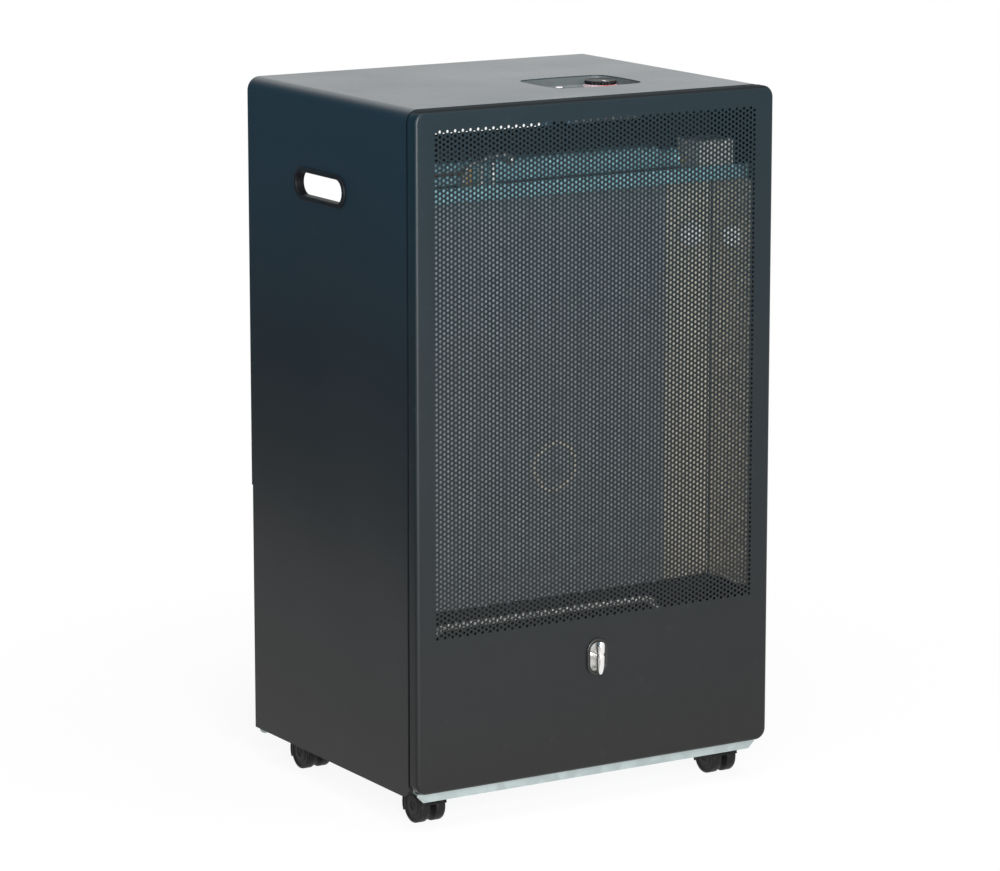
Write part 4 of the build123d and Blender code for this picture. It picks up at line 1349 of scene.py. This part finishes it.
# ---------------------------------------------------------------- latch
@dataclass
class Latch(SubAssembly):
    """Quarter-turn latch: a plated oval cup and a bullet-shaped wing on its shaft."""

    height: float = 0.038
    width: float = 0.024
    rise: float = 0.0025
    ring: float = 0.002
    wall: float = 0.0015
    depth: float = 0.008
    wing_y: float = -0.1714
    shaft: float = 0.004
    running_fit: float = 0.00005
    soft: float = 0.0009
    shaft_end_y: float = -0.1434
    shaft_lap: float = 0.001
    tail_lap: float = 0.0005
    tail_length: float = 0.003
    tail: float = 0.0026

    def oval(self, name: str, y: float, inset: float, depth: float) -> Object:
        """An upright solid slot shape from y backwards.

        Args:
            name: The piece's name.
            y: Its front face.
            inset: How far it is drawn in from the cup's outline.
            depth: Its thickness.

        Returns:
            The solid.
        """
        flat = Bench.obround(name, (0, y, self.latch_z), self.height - 2 * inset,
                             self.width - 2 * inset, Axis.Y, Vector((0, 0, 1)), 64)
        return Bench.thicken(flat, Vector((0, depth, 0)))

    def cup(self) -> Object:
        """Makes the oval cup with its softened rim.

        Returns:
            The cup.
        """
        front = self.face_y - self.rise
        cup = self.oval("latch_cup", front, 0.0, self.rise)
        well = self.oval("latch_well", front + self.rise / 2, self.ring, self.depth + self.rise / 2)
        Bench.cut(cup, well, "UNION")
        hollow = self.oval("latch_hollow", front - self.past, self.ring + self.wall,
                           self.past + self.rise + self.depth - self.wall)
        Bench.cut(cup, hollow)
        bore = Bench.cylinder("latch_bore", (0, self.face_y, self.latch_z),
                              self.shaft + self.running_fit, 4 * self.past, Axis.Y, 48)
        Bench.cut(cup, bore)
        Bench.bevel(cup, self.soft, 4, lambda e: all(v.co.y < front + self.near for v in e.verts)
                    and is_sharp(e))
        return Bench.smooth(cup, 40.0)

    def wing(self) -> Object:
        """Turns the bullet-shaped wing and sets it on its shaft.

        Returns:
            The wing with its shaft and square tail.
        """
        profile = [(0.0, 17.4), (1.8, 17.25), (3.1, 16.7), (4.0, 15.7), (4.5, 14.0), (4.6, 12.0),
                   (4.6, 6.2), (4.35, 5.7), (4.35, 5.2), (3.7, 4.6), (3.7, 3.6), (4.3, 3.0),
                   (4.4, 2.4), (4.35, -2.0), (4.2, -6.0), (3.8, -10.0), (3.2, -13.2), (2.5, -15.6),
                   (1.6, -17.0), (0.8, -17.4), (0.0, -17.5)]
        wing = Bench.lathe("latch_wing", millimetres(profile),
                           (0, self.wing_y, self.latch_z), Axis.Z, 40)
        start = self.wing_y + self.shaft_lap
        shaft = Bench.cylinder("latch_shaft", (0, (start + self.shaft_end_y) / 2, self.latch_z),
                               self.shaft, self.shaft_end_y - start, Axis.Y, 40)
        tail = Bench.cube("latch_tail", (-self.tail, self.shaft_end_y - self.tail_lap,
                                         self.latch_z - self.tail),
                          (self.tail, self.shaft_end_y + self.tail_length, self.latch_z + self.tail))
        Bench.cut(shaft, tail, "UNION")
        return Bench.smooth(Bench.cut(wing, shaft, "UNION"), 35.0)

    def build(self) -> list[Placed]:
        """Builds the cup and the wing.

        Returns:
            The finished pieces.
        """
        return [
            Placed(self.cup(), "front_door", "chrome", Finish.CUP, ("latch_escutcheon",)),
            Placed(self.wing(), "latch", "chrome", Finish.CHROME, ("latch_knob",)),
        ]


# ---------------------------------------------------------------- casters
@dataclass
class Casters(SubAssembly):
    """Four twin-wheel casters: turned wheels under a spun fender with its boss and stem."""

    side_x: float = 0.176
    front_y: float = -0.108
    rear_y: float = 0.126
    trail: float = 0.012
    wheel_radius: float = 0.018
    wheel_width: float = 0.011
    web: float = 0.003
    play: float = 0.0004
    fender_radius: float = 0.0208
    clearance_radius: float = 0.0190
    stem_top: float = 0.0457
    axle_radius: float = 0.003
    fender_soft: float = 0.0012
    front_rise: float = 4.0  # millimetres that the front cut lies over the axle, 1 mm off the fender
    rear_drop: float = 11.0  # millimetres that the rear cut lies under the axle there
    cutter_reach: float = 0.030

    @property
    def places(self) -> dict[str, tuple[float, float]]:
        """The four stems' places by name."""
        return {"front_left": (-self.side_x, self.front_y), "front_right": (self.side_x, self.front_y),
                "rear_left": (-self.side_x, self.rear_y), "rear_right": (self.side_x, self.rear_y)}

    def wheels(self) -> Object:
        """Turns a pair of wheels about the first caster's axle.

        Returns:
            The pair.
        """
        x, y = self.places["front_left"]
        profile = [(0, 9.0), (3.05, 9.0), (3.05, 0.0), (16.6, 0.0), (17.5, 0.4), (18.0, 1.4),
                   (18.0, 4.9), (17.7, 5.2), (17.7, 5.8), (18.0, 6.1), (18.0, 9.6), (17.6, 10.5),
                   (16.6, 11.0), (15.0, 11.0), (14.3, 10.2), (11.0, 9.9), (10.3, 10.5), (5.2, 10.6),
                   (4.4, 9.9), (2.2, 9.9), (1.6, 10.5), (0, 10.6)]
        inside = x + self.web + self.play
        wheel = Bench.lathe("caster_wheel", millimetres(profile),
                            (inside, y - self.trail, self.wheel_radius), Axis.X, 48)
        return Bench.join("caster_wheel_pair", [wheel, Bench.mirrored(wheel, "caster_wheel_other", x)])

    def fender(self) -> Object:
        """Spins the fender and cuts it to its arc, with the web between the wheels.

        Returns:
            The fender and web with the axle's bore.
        """
        x, y = self.places["front_left"]
        axle_y, axle_z = y - self.trail, self.wheel_radius
        half = self.web + self.play + self.wheel_width
        fender = Bench.cylinder("fender", (x, axle_y, axle_z), self.fender_radius, 2 * half,
                                Axis.X, 64)
        Bench.bevel(fender, self.fender_soft, 3, is_sharp)
        reach = self.cutter_reach
        for side in (-1.0, 1.0):
            space = Bench.cylinder("wheel_space", (x + side * (self.web + reach / 2), axle_y, axle_z),
                                   self.clearance_radius, reach, Axis.X, 64)
            Bench.cut(fender, space)
        below = Bench.cube("below", (x - reach, axle_y - reach, axle_z - reach),
                           (x + reach, axle_y + reach, axle_z + reach))
        for run in (self.front_rise, self.rear_drop):
            slope = Vector((0.0, run, self.fender_radius / MM + 1.0)).normalized()
            with Bench.editing(below):
                bpy.ops.mesh.select_all(action="SELECT")
                bpy.ops.mesh.bisect(plane_co=(x, axle_y, axle_z), plane_no=slope,
                                    use_fill=True, clear_outer=True)
        Bench.cut(fender, below)
        return fender

    def hood(self) -> Object:
        """Joins the fender to the boss and the stem.

        Returns:
            The caster's body.
        """
        x, y = self.places["front_left"]
        axle_y, axle_z = y - self.trail, self.wheel_radius
        top = self.stem_top - axle_z
        profile = [(0.0, 0.0), (7.0, 0.0), (7.0, 19.4), (6.4, 20.4), (5.2, 20.8), (4.0, 21.6),
                   (4.0, 1000 * top - 0.6), (3.4, 1000 * top), (0.0, 1000 * top)]
        boss = Bench.lathe("caster_boss", millimetres(profile),
                           (x, y, axle_z), Axis.Z, 32)
        space = Bench.cylinder("boss_space", (x, axle_y, axle_z), self.clearance_radius,
                               2 * self.cutter_reach, Axis.X, 64)
        Bench.cut(boss, space)
        hood = Bench.cut(self.fender(), boss, "UNION")
        bore = Bench.cylinder("axle_bore", (x, axle_y, axle_z), self.axle_radius, 2 * self.cutter_reach,
                              Axis.X, 24)
        return Bench.smooth(Bench.cut(hood, bore), 30.0)

    def build(self) -> list[Placed]:
        """Builds one caster and copies it to the other three corners.

        Returns:
            The finished pieces.
        """
        x0, y0 = self.places["front_left"]
        hood, pair = self.hood(), Bench.smooth(self.wheels(), 35.0)
        made = []
        for name, (x, y) in self.places.items():
            shift = (x - x0, y - y0, 0.0)
            for model, part, body, finish in ((hood, "hood", "caster", Finish.CASTER),
                                              (pair, "wheels", "wheels", Finish.WHEEL)):
                copy = Bench.twin(model, f"{part}_{name}", shift)
                made.append(Placed(copy, f"{body}_{name}", "wheel" if part == "wheels"
                                   else "black_plastic", finish, (f"caster_{part}_{name}",)))
        for model in (hood, pair):
            bpy.data.objects.remove(model)
        return made


# ---------------------------------------------------------------- console
@dataclass
class Console(SubAssembly):
    """Moulded dish in the top sheet with the printed dial, the knob and the igniter."""

    under_z: float = 0.709
    floor_z: float = 0.711
    wall: float = 0.002
    flange: float = 0.008
    knob_x: float = 0.087
    knob_y: float = -0.031
    igniter_x: float = 0.0255
    igniter_y: float = -0.050
    lap: float = 0.001
    dish_corner: float = 0.012
    flange_corner: float = 0.004
    floor_soft: float = 0.0025
    spindle_hole: float = 0.006
    igniter_hole: float = 0.00806
    flute_start: float = 0.0148
    facet_angle: float = 5.0
    flute_facets: int = 3
    flute_share: float = 0.955  # share of the grip's radius that is left in a flute
    bore_z: float = 0.7153
    bore_radius: float = 0.00406
    bore_length: float = 0.010
    pointer_half: float = 0.0009
    pointer_inner: float = 0.0042
    pointer_outer: float = 0.0152
    pointer_z: float = 0.7213
    nut_z: float = 0.707
    nut_radius: float = 0.012
    nut_height: float = 0.004
    nut_way: float = 0.00795
    terminal_outer: float = 0.012
    terminal_inner: float = 0.0075
    terminal_half: float = 0.0025
    terminal_z: float = 0.6730
    terminal_soft: float = 0.0006

    def dish(self) -> Object:
        """Moulds the dish with its flange and its two holes.

        Returns:
            The dish.
        """
        x, y = self.console_x, self.console_y
        length, width = self.console_length, self.console_width
        inner_top = self.top_z - self.sheet
        dish = bowed_block("console_dish", (x, y), length + 2 * self.wall, width + 2 * self.wall,
                           self.under_z, inner_top - self.lap, corner=self.dish_corner)
        a, b = length / 2 + self.flange, width / 2 + self.flange
        flange = Bench.cube("console_flange", (x - a, y - b, inner_top - self.wall),
                            (x + a, y + b, inner_top))
        Bench.bevel(flange, self.flange_corner, 4, lambda e: edge_along(e, 2))
        Bench.cut(dish, flange, "UNION")
        well = bowed_block("console_well", (x, y), length, width, self.floor_z,
                           self.top_z + self.past)
        Bench.bevel(well, self.floor_soft, 4,
                    lambda e: all(v.co.z < self.floor_z + self.near for v in e.verts)
                    and is_sharp(e))
        Bench.cut(dish, well)
        for x, y, radius in ((self.knob_x, self.knob_y, self.spindle_hole),
                             (self.igniter_x, self.igniter_y, self.igniter_hole)):
            hole = Bench.cylinder("console_hole", (x, y, self.floor_z), radius, 2 * self.past,
                                  Axis.Z, 48)
            Bench.cut(dish, hole)
        return Bench.smooth(dish, 35.0)

    def knob(self) -> Object:
        """Turns the knob, flutes its grip and bores it for the spindle.

        Returns:
            The knob.
        """
        base, top = 713.5, 721.5
        skirt = [(0.0, base), (18.0, base), (18.5, base + 0.5), (18.5, base + 1.6),
                 (17.9, base + 2.4), (15.0, base + 2.5), (0.0, base + 2.5)]
        grip = [(0.0, base + 1.0), (16.4, base + 1.0), (16.4, top - 1.3), (16.0, top - 0.5),
                (15.2, top), (13.2, top), (12.9, top - 0.35), (0.0, top - 0.35)]
        knob = self.turned("control_grip", skirt, 72)
        crown = self.turned("knob_crown", grip, 72)
        with Bench.editing(crown):
            Bench.pick("VERT", self.in_flute)
            bpy.ops.transform.resize(value=(self.flute_share, self.flute_share, 1.0),
                                     center_override=(self.knob_x, self.knob_y, 0.0))
        Bench.cut(knob, crown, "UNION")
        bore = Bench.cylinder("knob_bore", (self.knob_x, self.knob_y, self.bore_z),
                              self.bore_radius, self.bore_length, Axis.Z, 40)
        return Bench.smooth(Bench.cut(knob, bore), 28.0)

    def turned(self, name: str, profile: Sequence[tuple[float, float]], steps: int) -> Object:
        """Turns a millimetre profile about the knob's axis."""
        return Bench.lathe(name, millimetres(profile),
                           (self.knob_x, self.knob_y, 0.0), Axis.Z, steps)

    def in_flute(self, vertex: bmesh.types.BMVert) -> bool:
        """Whether a vertex of the knob's grip lies in one of its flutes."""
        dx, dy = vertex.co.x - self.knob_x, vertex.co.y - self.knob_y
        step = round(math.degrees(math.atan2(dy, dx)) / self.facet_angle) % self.flute_facets
        return math.hypot(dx, dy) > self.flute_start and step == 0

    def pointer(self) -> Object:
        """Makes the pale pointer let into the knob's top.

        Returns:
            The pointer.
        """
        x, y, z, half = self.knob_x, self.knob_y, self.pointer_z, self.pointer_half
        bar = Bench.cube("knob_pointer", (x - half, y - self.pointer_outer, z - 0.6 * MM),
                         (x + half, y - self.pointer_inner, z + 0.1 * MM))
        Bench.bevel(bar, 0.0004, 2, lambda e: edge_along(e, 2) or e.verts[0].co.z > z
                    and e.verts[1].co.z > z)
        return Bench.smooth(bar)

    def igniter(self) -> Object:
        """Turns the igniter's barrel and stepped collar, with its nut and terminal.

        Returns:
            The igniter's body.
        """
        profile = [(0.0, 655.0), (8.0, 655.0), (8.0, 711.0), (11.0, 711.0), (11.0, 713.8),
                   (10.5, 714.9), (9.6, 715.2), (9.2, 715.9), (8.4, 716.0), (6.4, 716.0),
                   (5.7, 715.3), (5.7, 696.0), (0.0, 696.0)]
        place = (self.igniter_x, self.igniter_y, 0.0)
        body = Bench.lathe("igniter_collar", millimetres(profile), place,
                           Axis.Z, 48)
        nut_place = (self.igniter_x, self.igniter_y, self.nut_z)
        nut = Bench.cylinder("igniter_nut", nut_place, self.nut_radius, self.nut_height, Axis.Z, 6)
        Bench.bevel(nut, 0.0004, 2, is_sharp)
        way = Bench.cylinder("nut_way", nut_place, self.nut_way, 2 * self.past, Axis.Z, 48)
        Bench.cut(nut, way)
        far, near = self.igniter_x - self.terminal_outer, self.igniter_x - self.terminal_inner
        low, high = self.terminal_z - self.terminal_half, self.terminal_z + self.terminal_half
        terminal = Bench.cube("igniter_terminal", (far, self.igniter_y - self.terminal_half, low),
                              (near, self.igniter_y + self.terminal_half, high))
        Bench.bevel(terminal, self.terminal_soft, 2, lambda e: edge_along(e, 0))
        Bench.cut(body, terminal, "UNION")
        return Bench.smooth(Bench.join("igniter_collar", [body, nut]), 35.0)

    def button(self) -> tuple[Object, Object]:
        """Turns the igniter's plunger and the pale cap in its top.

        Returns:
            The plunger and the cap.
        """
        sleeve = [(0.0, 701.0), (5.5, 701.0), (5.5, 718.3), (5.0, 719.2), (4.2, 719.4),
                  (3.9, 719.0), (0.0, 719.0)]
        cap = [(0.0, 718.9), (3.8, 718.9), (3.8, 719.4), (3.2, 719.85), (1.8, 720.0), (0.0, 720.0)]
        place = (self.igniter_x, self.igniter_y, 0.0)
        made = [Bench.smooth(Bench.lathe(name, millimetres(profile), place,
                                         Axis.Z, 40), 40.0)
                for name, profile in (("igniter_plunger", sleeve), ("igniter_cap", cap))]
        return made[0], made[1]

    def build(self) -> list[Placed]:
        """Builds the console's pieces.

        Returns:
            The finished pieces.
        """
        plunger, cap = self.button()
        return [
            Placed(self.dish(), "cabinet", "black_plastic", Finish.DIAL, ("console_tray",)),
            Placed(self.knob(), "knob", "black_plastic", Finish.SKIRT, ("control_knob",)),
            Placed(self.pointer(), "knob", "white_plastic", Finish.BUTTON),
            Placed(self.igniter(), "cabinet", "black_plastic", Finish.PLASTIC, ("igniter_body",)),
            Placed(plunger, "igniter_push", "white_plastic", Finish.PLASTIC, ("igniter_button",)),
            Placed(cap, "igniter_push", "white_plastic", Finish.BUTTON, ("igniter_button",)),
        ]


# ---------------------------------------------------------------- fittings behind the grille
@dataclass
class ChamberFittings(SubAssembly):
    """Small fittings in the combustion chamber."""

    pilot_y: float = -0.110
    guard_half: float = 0.137
    guard_top: float = 0.181
    guard_corner: float = 0.018
    guard_y: float = -0.067
    ring_place: Point = (0.011, -0.0673, 0.334)
    ring_radius: float = 0.0265
    strap_half: float = 0.140
    burner_y: float = -0.0965
    # where the strip of painted shade at the burner's foot runs
    burner_foot_shade_x: tuple[float, float] = (-0.150, 0.140)
    burner_foot_shade_z: tuple[float, float] = (0.6325, 0.6370)
    shade_strip_stand: float = 0.0012
    shade_strip_root: float = 0.0003
    reflector_seam_box: tuple[Point, Point] = ((-0.0013, -0.0010, 0.199), (0.0013, 0.0006, 0.622))
    seam_place: Point = (0.1782, -0.1012, 0.0)
    reflector_turn: float = math.radians(-54.3)
    hoop_radius: float = 0.0030
    bead_radius: float = 0.0034
    ring_width: float = 0.0045
    ring_thickness: float = 0.0012
    strap_thickness: float = 0.001
    strap_width: float = 0.003
    strap_low: float = 0.226
    strap_high: float = 0.436
    # X, Y and radius of the right side's rivets
    rivets: tuple[Point, ...] = ((0.1655, -0.0835, 0.0132), (0.1910, -0.1190, 0.0112))
    rivet_z: float = 0.5635
    soft: float = 0.0004

    def rod(self, name: str, points: Sequence[Point], radius: float) -> Object:
        """Bends a round rod along a smooth line.

        Args:
            name: The piece's name.
            points: The line's control points.
            radius: The rod's radius.

        Returns:
            The rod as a closed mesh.
        """
        Bench.clear()
        curve = bpy.data.curves.new(name, "CURVE")
        curve.dimensions = "3D"
        curve.bevel_depth = radius
        curve.bevel_resolution = 4
        curve.use_fill_caps = True
        spline = curve.splines.new("NURBS")
        spline.points.add(len(points) - 1)
        for target, point in zip(spline.points, points):
            target.co = (*point, 1.0)
        spline.use_endpoint_u = True
        spline.order_u = 3
        spline.resolution_u = 6
        piece = bpy.data.objects.new(name, curve)
        bpy.context.scene.collection.objects.link(piece)
        Bench.only(piece)
        bpy.ops.object.convert(target="MESH")
        return Bench.smooth(Bench.settle(bpy.context.object, name), 40.0)

    def flame_hoop(self) -> Object:
        """Bends the hoop that leads the pilot flame over both sensors.

        Returns:
            The hoop.
        """
        y = self.pilot_y - 0.002
        return self.rod("pilot_hoop", [(-0.124, y, 0.640), (-0.1245, y, 0.650), (-0.118, y, 0.657),
                                       (-0.106, y, 0.6620), (-0.090, y, 0.6650),
                                       (-0.074, y, 0.6660), (-0.068, y, 0.6625),
                                       (-0.0705, y, 0.6555)], self.hoop_radius)

    def guard_bead(self) -> Object:
        """Bends the bead that trims the lower guard's edge. Its white finish is a painted highlight.

        Returns:
            The bead.
        """
        half, top, radius, y = self.guard_half, self.guard_top, self.guard_corner, self.guard_y
        right = [(half, y, top - 2 * radius)]
        for step in range(7):
            turn = math.radians(15.0 * step)
            right.append((half - radius + radius * math.cos(turn), y,
                          top - radius + radius * math.sin(turn)))
        left = [(-px, py, pz) for px, py, pz in reversed(right)]
        return self.rod("guard_bead", right + [(0.0, y, top)] + left, self.bead_radius)

    def shield_ring(self) -> Object:
        """Cuts the flat ring that lies on the crests of the heat shield's ribs.

        Returns:
            The ring.
        """
        x, y, z = self.ring_place
        ring = Bench.cylinder("shield_ring", (x, y, z), self.ring_radius, self.ring_thickness,
                              Axis.Y, 64)
        hole = Bench.cylinder("shield_ring_hole", (x, y, z), self.ring_radius - self.ring_width,
                              self.past, Axis.Y, 64)
        Bench.cut(ring, hole)
        Bench.bevel(ring, 0.0003, 2, is_sharp)
        return Bench.smooth(ring, 40.0)

    def shield_strap(self, name: str, height: float) -> Object:
        """Makes one flat strap across the heat shield's ribs.

        Args:
            name: The piece's name.
            height: Its middle's height.

        Returns:
            The strap.
        """
        y = self.ring_place[1]
        deep, high = self.strap_thickness / 2, self.strap_width / 2
        strap = Bench.cube(name, (-self.strap_half, y - deep, height - high),
                           (self.strap_half, y + deep, height + high))
        Bench.bevel(strap, self.soft, 2, lambda e: edge_along(e, 0))
        return Bench.smooth(strap, 40.0)

    def rivet_head(self, name: str, place: Point, radius: float, turn: float) -> Object:
        """Turns one domed rivet head lying on the slanted reflector.

        Args:
            name: The piece's name.
            place: Its middle on the sheet.
            radius: Its radius.
            turn: The turn about Z that faces it away from the sheet.

        Returns:
            The head.
        """
        profile = [(0.0, 0.0), (1.0, 0.0), (1.0, 0.14), (0.9, 0.26), (0.7, 0.36), (0.4, 0.42),
                   (0.16, 0.40), (0.1, 0.30), (0.0, 0.30)]
        head = Bench.lathe(name, [(r * radius, h * radius) for r, h in profile], (0, 0, 0),
                           Axis.Y, 32)
        head.rotation_euler = (0.0, 0.0, turn)
        head.location = place
        return Bench.smooth(Bench.settle(head, name), 45.0)

    def burner_seam(self) -> Object:
        """Makes the dark strip along the foot of the burner's front. It is painted shade that stands
        for the shadow under the burner.

        Returns:
            The strip.
        """
        (left, right), (low, high) = self.burner_foot_shade_x, self.burner_foot_shade_z
        seam = Bench.cube("burner_seam", (left, self.burner_y - self.shade_strip_stand, low),
                          (right, self.burner_y + self.shade_strip_root, high))
        Bench.bevel(seam, self.soft, 2, lambda e: edge_along(e, 0))
        return Bench.smooth(seam, 40.0)

    def reflector_seam(self) -> Object:
        """Folds the narrow upright seam that stands on the right slanted reflector.

        Returns:
            The seam.
        """
        seam = Bench.cube("reflector_seam_right", *self.reflector_seam_box)
        Bench.bevel(seam, 0.0003, 2, lambda e: edge_along(e, 2))
        seam.rotation_euler = (0.0, 0.0, self.reflector_turn)
        seam.location = self.seam_place
        return Bench.smooth(Bench.settle(seam, seam.name), 40.0)

    def build(self) -> list[Placed]:
        """Builds the fittings.

        Returns:
            The finished pieces.
        """
        made = [Placed(self.flame_hoop(), "cabinet", "steel", Finish.BRIGHT),
                # The bead's white finish is a painted highlight.
                Placed(self.guard_bead(), "cabinet", "steel", Finish.ENAMEL),
                Placed(self.shield_ring(), "cabinet", "galvanised", Finish.ZINC_WARM),
                Placed(self.shield_strap("shield_strap_low", self.strap_low), "cabinet", "galvanised",
                       Finish.ZINC_SHIELD),
                Placed(self.shield_strap("shield_strap_high", self.strap_high), "cabinet", "galvanised",
                       Finish.ZINC_SHIELD)]
        for index, (x, y, radius) in enumerate(self.rivets):
            # The rivet heads' white finish is a painted highlight.
            head = self.rivet_head(f"reflector_rivet_right_{index}", (x, y, self.rivet_z), radius,
                                   self.reflector_turn)
            made.append(Placed(head, "cabinet", "steel", Finish.ENAMEL))
            other = Bench.mirrored(head, f"reflector_rivet_left_{index}")
            made.append(Placed(Bench.smooth(other, 45.0), "cabinet", "steel", Finish.ENAMEL))
        # Dark strip at the burner's foot: painted shade.
        made.append(Placed(self.burner_seam(), "cabinet", "steel", Finish.HOT_STEEL))
        seam = self.reflector_seam()
        made.append(Placed(seam, "cabinet", "steel", Finish.HOT_STEEL))
        other = Bench.mirrored(seam, "reflector_seam_left")
        made.append(Placed(Bench.smooth(other, 40.0), "cabinet", "steel", Finish.HOT_STEEL))
        return made


# ---------------------------------------------------------------- studio
@dataclass
class Studio:
    """Pale floor, soft lamps, plain surroundings and the camera."""

    yaw: float = -31.401
    pitch: float = 11.403
    distance: float = 4.5857
    target: Point = (0.04696, 0.09988, 0.33315)
    lens: float = 156.06
    surround_tone: Colour = (0.62, 0.66, 0.7)
    surround_level: float = 0.15
    floor_side: float = 9.0

    def camera(self) -> None:
        """Places the camera at the photograph's angle."""
        yaw, pitch = math.radians(self.yaw), math.radians(self.pitch)
        back = Vector((math.sin(yaw) * math.cos(pitch), -math.cos(yaw) * math.cos(pitch),
                       math.sin(pitch)))
        data = bpy.data.cameras.new("camera")
        data.sensor_width = 36.0
        data.lens = self.lens
        data.clip_end = 50.0
        camera = bpy.data.objects.new("camera", data)
        camera.location = Vector(self.target) + back * self.distance
        camera.rotation_euler = Euler((math.pi / 2 - pitch, 0.0, yaw))
        bpy.context.scene.collection.objects.link(camera)
        bpy.context.scene.camera = camera

    def lamp(self, name: str, place: Point, aim: Point, size: tuple[float, float],
             power: float) -> None:
        """Hangs one rectangular soft lamp.

        Args:
            name: The lamp's name.
            place: Where it hangs.
            aim: The point it faces.
            size: Its two sides.
            power: Its power in watts.
        """
        data = bpy.data.lights.new(name, "AREA")
        data.shape = "RECTANGLE"
        data.size, data.size_y = size
        data.energy = power
        lamp = bpy.data.objects.new(name, data)
        lamp.location = place
        lamp.rotation_euler = (Vector(aim) - Vector(place)).to_track_quat("-Z", "Y").to_euler()
        bpy.context.scene.collection.objects.link(lamp)

    def floor(self) -> None:
        """Lays the pale floor."""
        Bench.clear()
        bpy.ops.mesh.primitive_plane_add(size=self.floor_side, location=(0, 0, 0))
        floor = Bench.settle(bpy.context.object, "floor")
        desk = ShaderDesk("pale_floor")
        glow = desk.node("ShaderNodeEmission", {}, {"Color": (1, 1, 1, 1), "Strength": 1.0})
        matt = desk.node("ShaderNodeBsdfDiffuse", {}, {"Color": (0.86, 0.86, 0.86, 1)})
        x, y, _ = desk.axes(desk.place())
        far = ((x * x + y * y) ** 0.5).spread(0.35, 0.95, 0.90, 1.0)
        both = desk.node("ShaderNodeMixShader", {}, {0: desk.seen_directly() * far,
                                                         1: matt, 2: glow})
        floor.data.materials.append(desk.close(both))

    def card(self, name: str, place: Point, size: tuple[float, float], turn: Point, along: int,
             stops: Sequence[tuple[float, Colour]]) -> None:
        """Sets up one glowing card that only reflections show.

        Args:
            name: The card's name.
            place: Its middle.
            size: Its two sides.
            turn: Its turn about the three axes.
            along: Axis its tone runs along, 0, 1 or 2.
            stops: Positions in metres along that axis and the tones there.
        """
        Bench.clear()
        bpy.ops.mesh.primitive_plane_add(size=1.0, location=place, rotation=turn)
        card = bpy.context.object
        card.scale = (*size, 1.0)
        Bench.settle(card, name)
        desk = ShaderDesk(name)
        run = desk.axes(desk.place())[along]
        low, high = stops[0][0], stops[-1][0]
        tone = desk.node("ShaderNodeValToRGB", {"stops": [
            ((at - low) / (high - low), colour) for at, colour in stops]},
            {0: run.spread(low, high)})
        glow = desk.node("ShaderNodeEmission", {}, {"Color": tone, "Strength": 1.0})
        card.data.materials.append(desk.close(glow))
        card.visible_camera = False
        card.visible_diffuse = False
        card.visible_shadow = False
        card.visible_transmission = False

    def cards(self) -> None:
        """Stands a deep blue card beside the left side and lays a grey one at its foot."""
        self.card("side_card", (-0.62, 1.2, 1.32), (4.4, 2.56), (math.pi / 2, 0, math.pi / 2), 2,
                  [(0.04, (0.45, 0.45, 0.45)), (0.15, (0.14, 0.16, 0.17)),
                   (0.30, (0.09, 0.12, 0.13)), (0.52, (0.15, 0.33, 0.47)),
                   (2.60, (0.15, 0.33, 0.47))])
        self.card("foot_card", (-0.415, 1.2, 0.0015), (0.41, 4.4), (0, 0, 0), 0,
                  [(-0.62, (0.50, 0.50, 0.50)), (-0.21, (0.66, 0.66, 0.65))])

    def surroundings(self) -> None:
        """Sets the surroundings: white to the eye and in reflections, dimmer as light."""
        world = bpy.data.worlds.new("surroundings")
        bpy.context.scene.world = world
        desk = ShaderDesk("surroundings", world)
        white = desk.node("ShaderNodeBackground", {}, {0: (1, 1, 1, 1)})
        dim = desk.node("ShaderNodeBackground", {}, {0: (*self.surround_tone, 1),
                                                     1: self.surround_level})
        desk.close(desk.node("ShaderNodeMixShader", {}, {0: desk.seen_directly(), 1: dim, 2: white}))

    def build(self) -> None:
        """Sets up the whole studio."""
        self.camera()
        self.floor()
        self.cards()
        self.surroundings()
        self.lamp("lamp_overhead", (0.0, -0.5, 2.6), (0, 0, 0.4), (2.4, 2.4), 60.0)
        self.lamp("lamp_front", (-1.15, -2.65, 0.95), (0, 0, 0.4), (1.6, 1.6), 160.0)
        bpy.context.scene.view_settings.view_transform = "Standard"


# ---------------------------------------------------------------- the whole heater
CARRIED = {
    Finish.BODY: ("rear_frame", "rear_cover", "hinge_lugs"),
    Finish.ZINC: ("pilot_bracket", "latch_keeper", "caster_plates", "control_housing"),
    Finish.ZINC_TRAY: ("base_tray",),
    Finish.ZINC_PALE: ("injector_bracket",),
    Finish.ZINC_BLUE: ("burner", "burner_shelf"),
    Finish.ZINC_SHIELD: ("heat_shield",),
    Finish.ZINC_WARM: ("side_reflector_left", "side_reflector_right"),
    Finish.HOT_STEEL: ("partition", "upper_baffle", "lower_guard"),
    Finish.BRIGHT: ("thermocouple", "ignition_electrode"),
    Finish.STEEL: ("valve_spindle", "latch_cam", "caster_axle_front_left",
                   "caster_axle_front_right", "caster_axle_rear_left", "caster_axle_rear_right"),
    Finish.CASTING: ("gas_valve",),
    Finish.BRASS: ("injector", "pilot_burner", "gas_inlet"),
    Finish.COPPER: ("burner_pipe", "pilot_pipe"),
    Finish.LEAD: ("thermocouple_lead", "ignition_lead"),
}


def main() -> None:
    """Builds the studio and the heater's pieces in order."""
    logging.basicConfig(level=logging.INFO, format="%(name)s: %(message)s")
    Studio().build()
    for finish, nodes in CARRIED.items():
        for node in nodes:
            dress(frame["nodes"][node], finish)
    for assembly in (CabinetBody(), FrontPanel(), Handles(), Latch(), Casters(), Console(),
                     ChamberFittings()):
        for placed in assembly.build():
            piece = placed.enter()
            LOG.info("%s: %d faces on %s", piece.name, len(piece.data.polygons), placed.body)


if __name__ == "__main__":
    main()
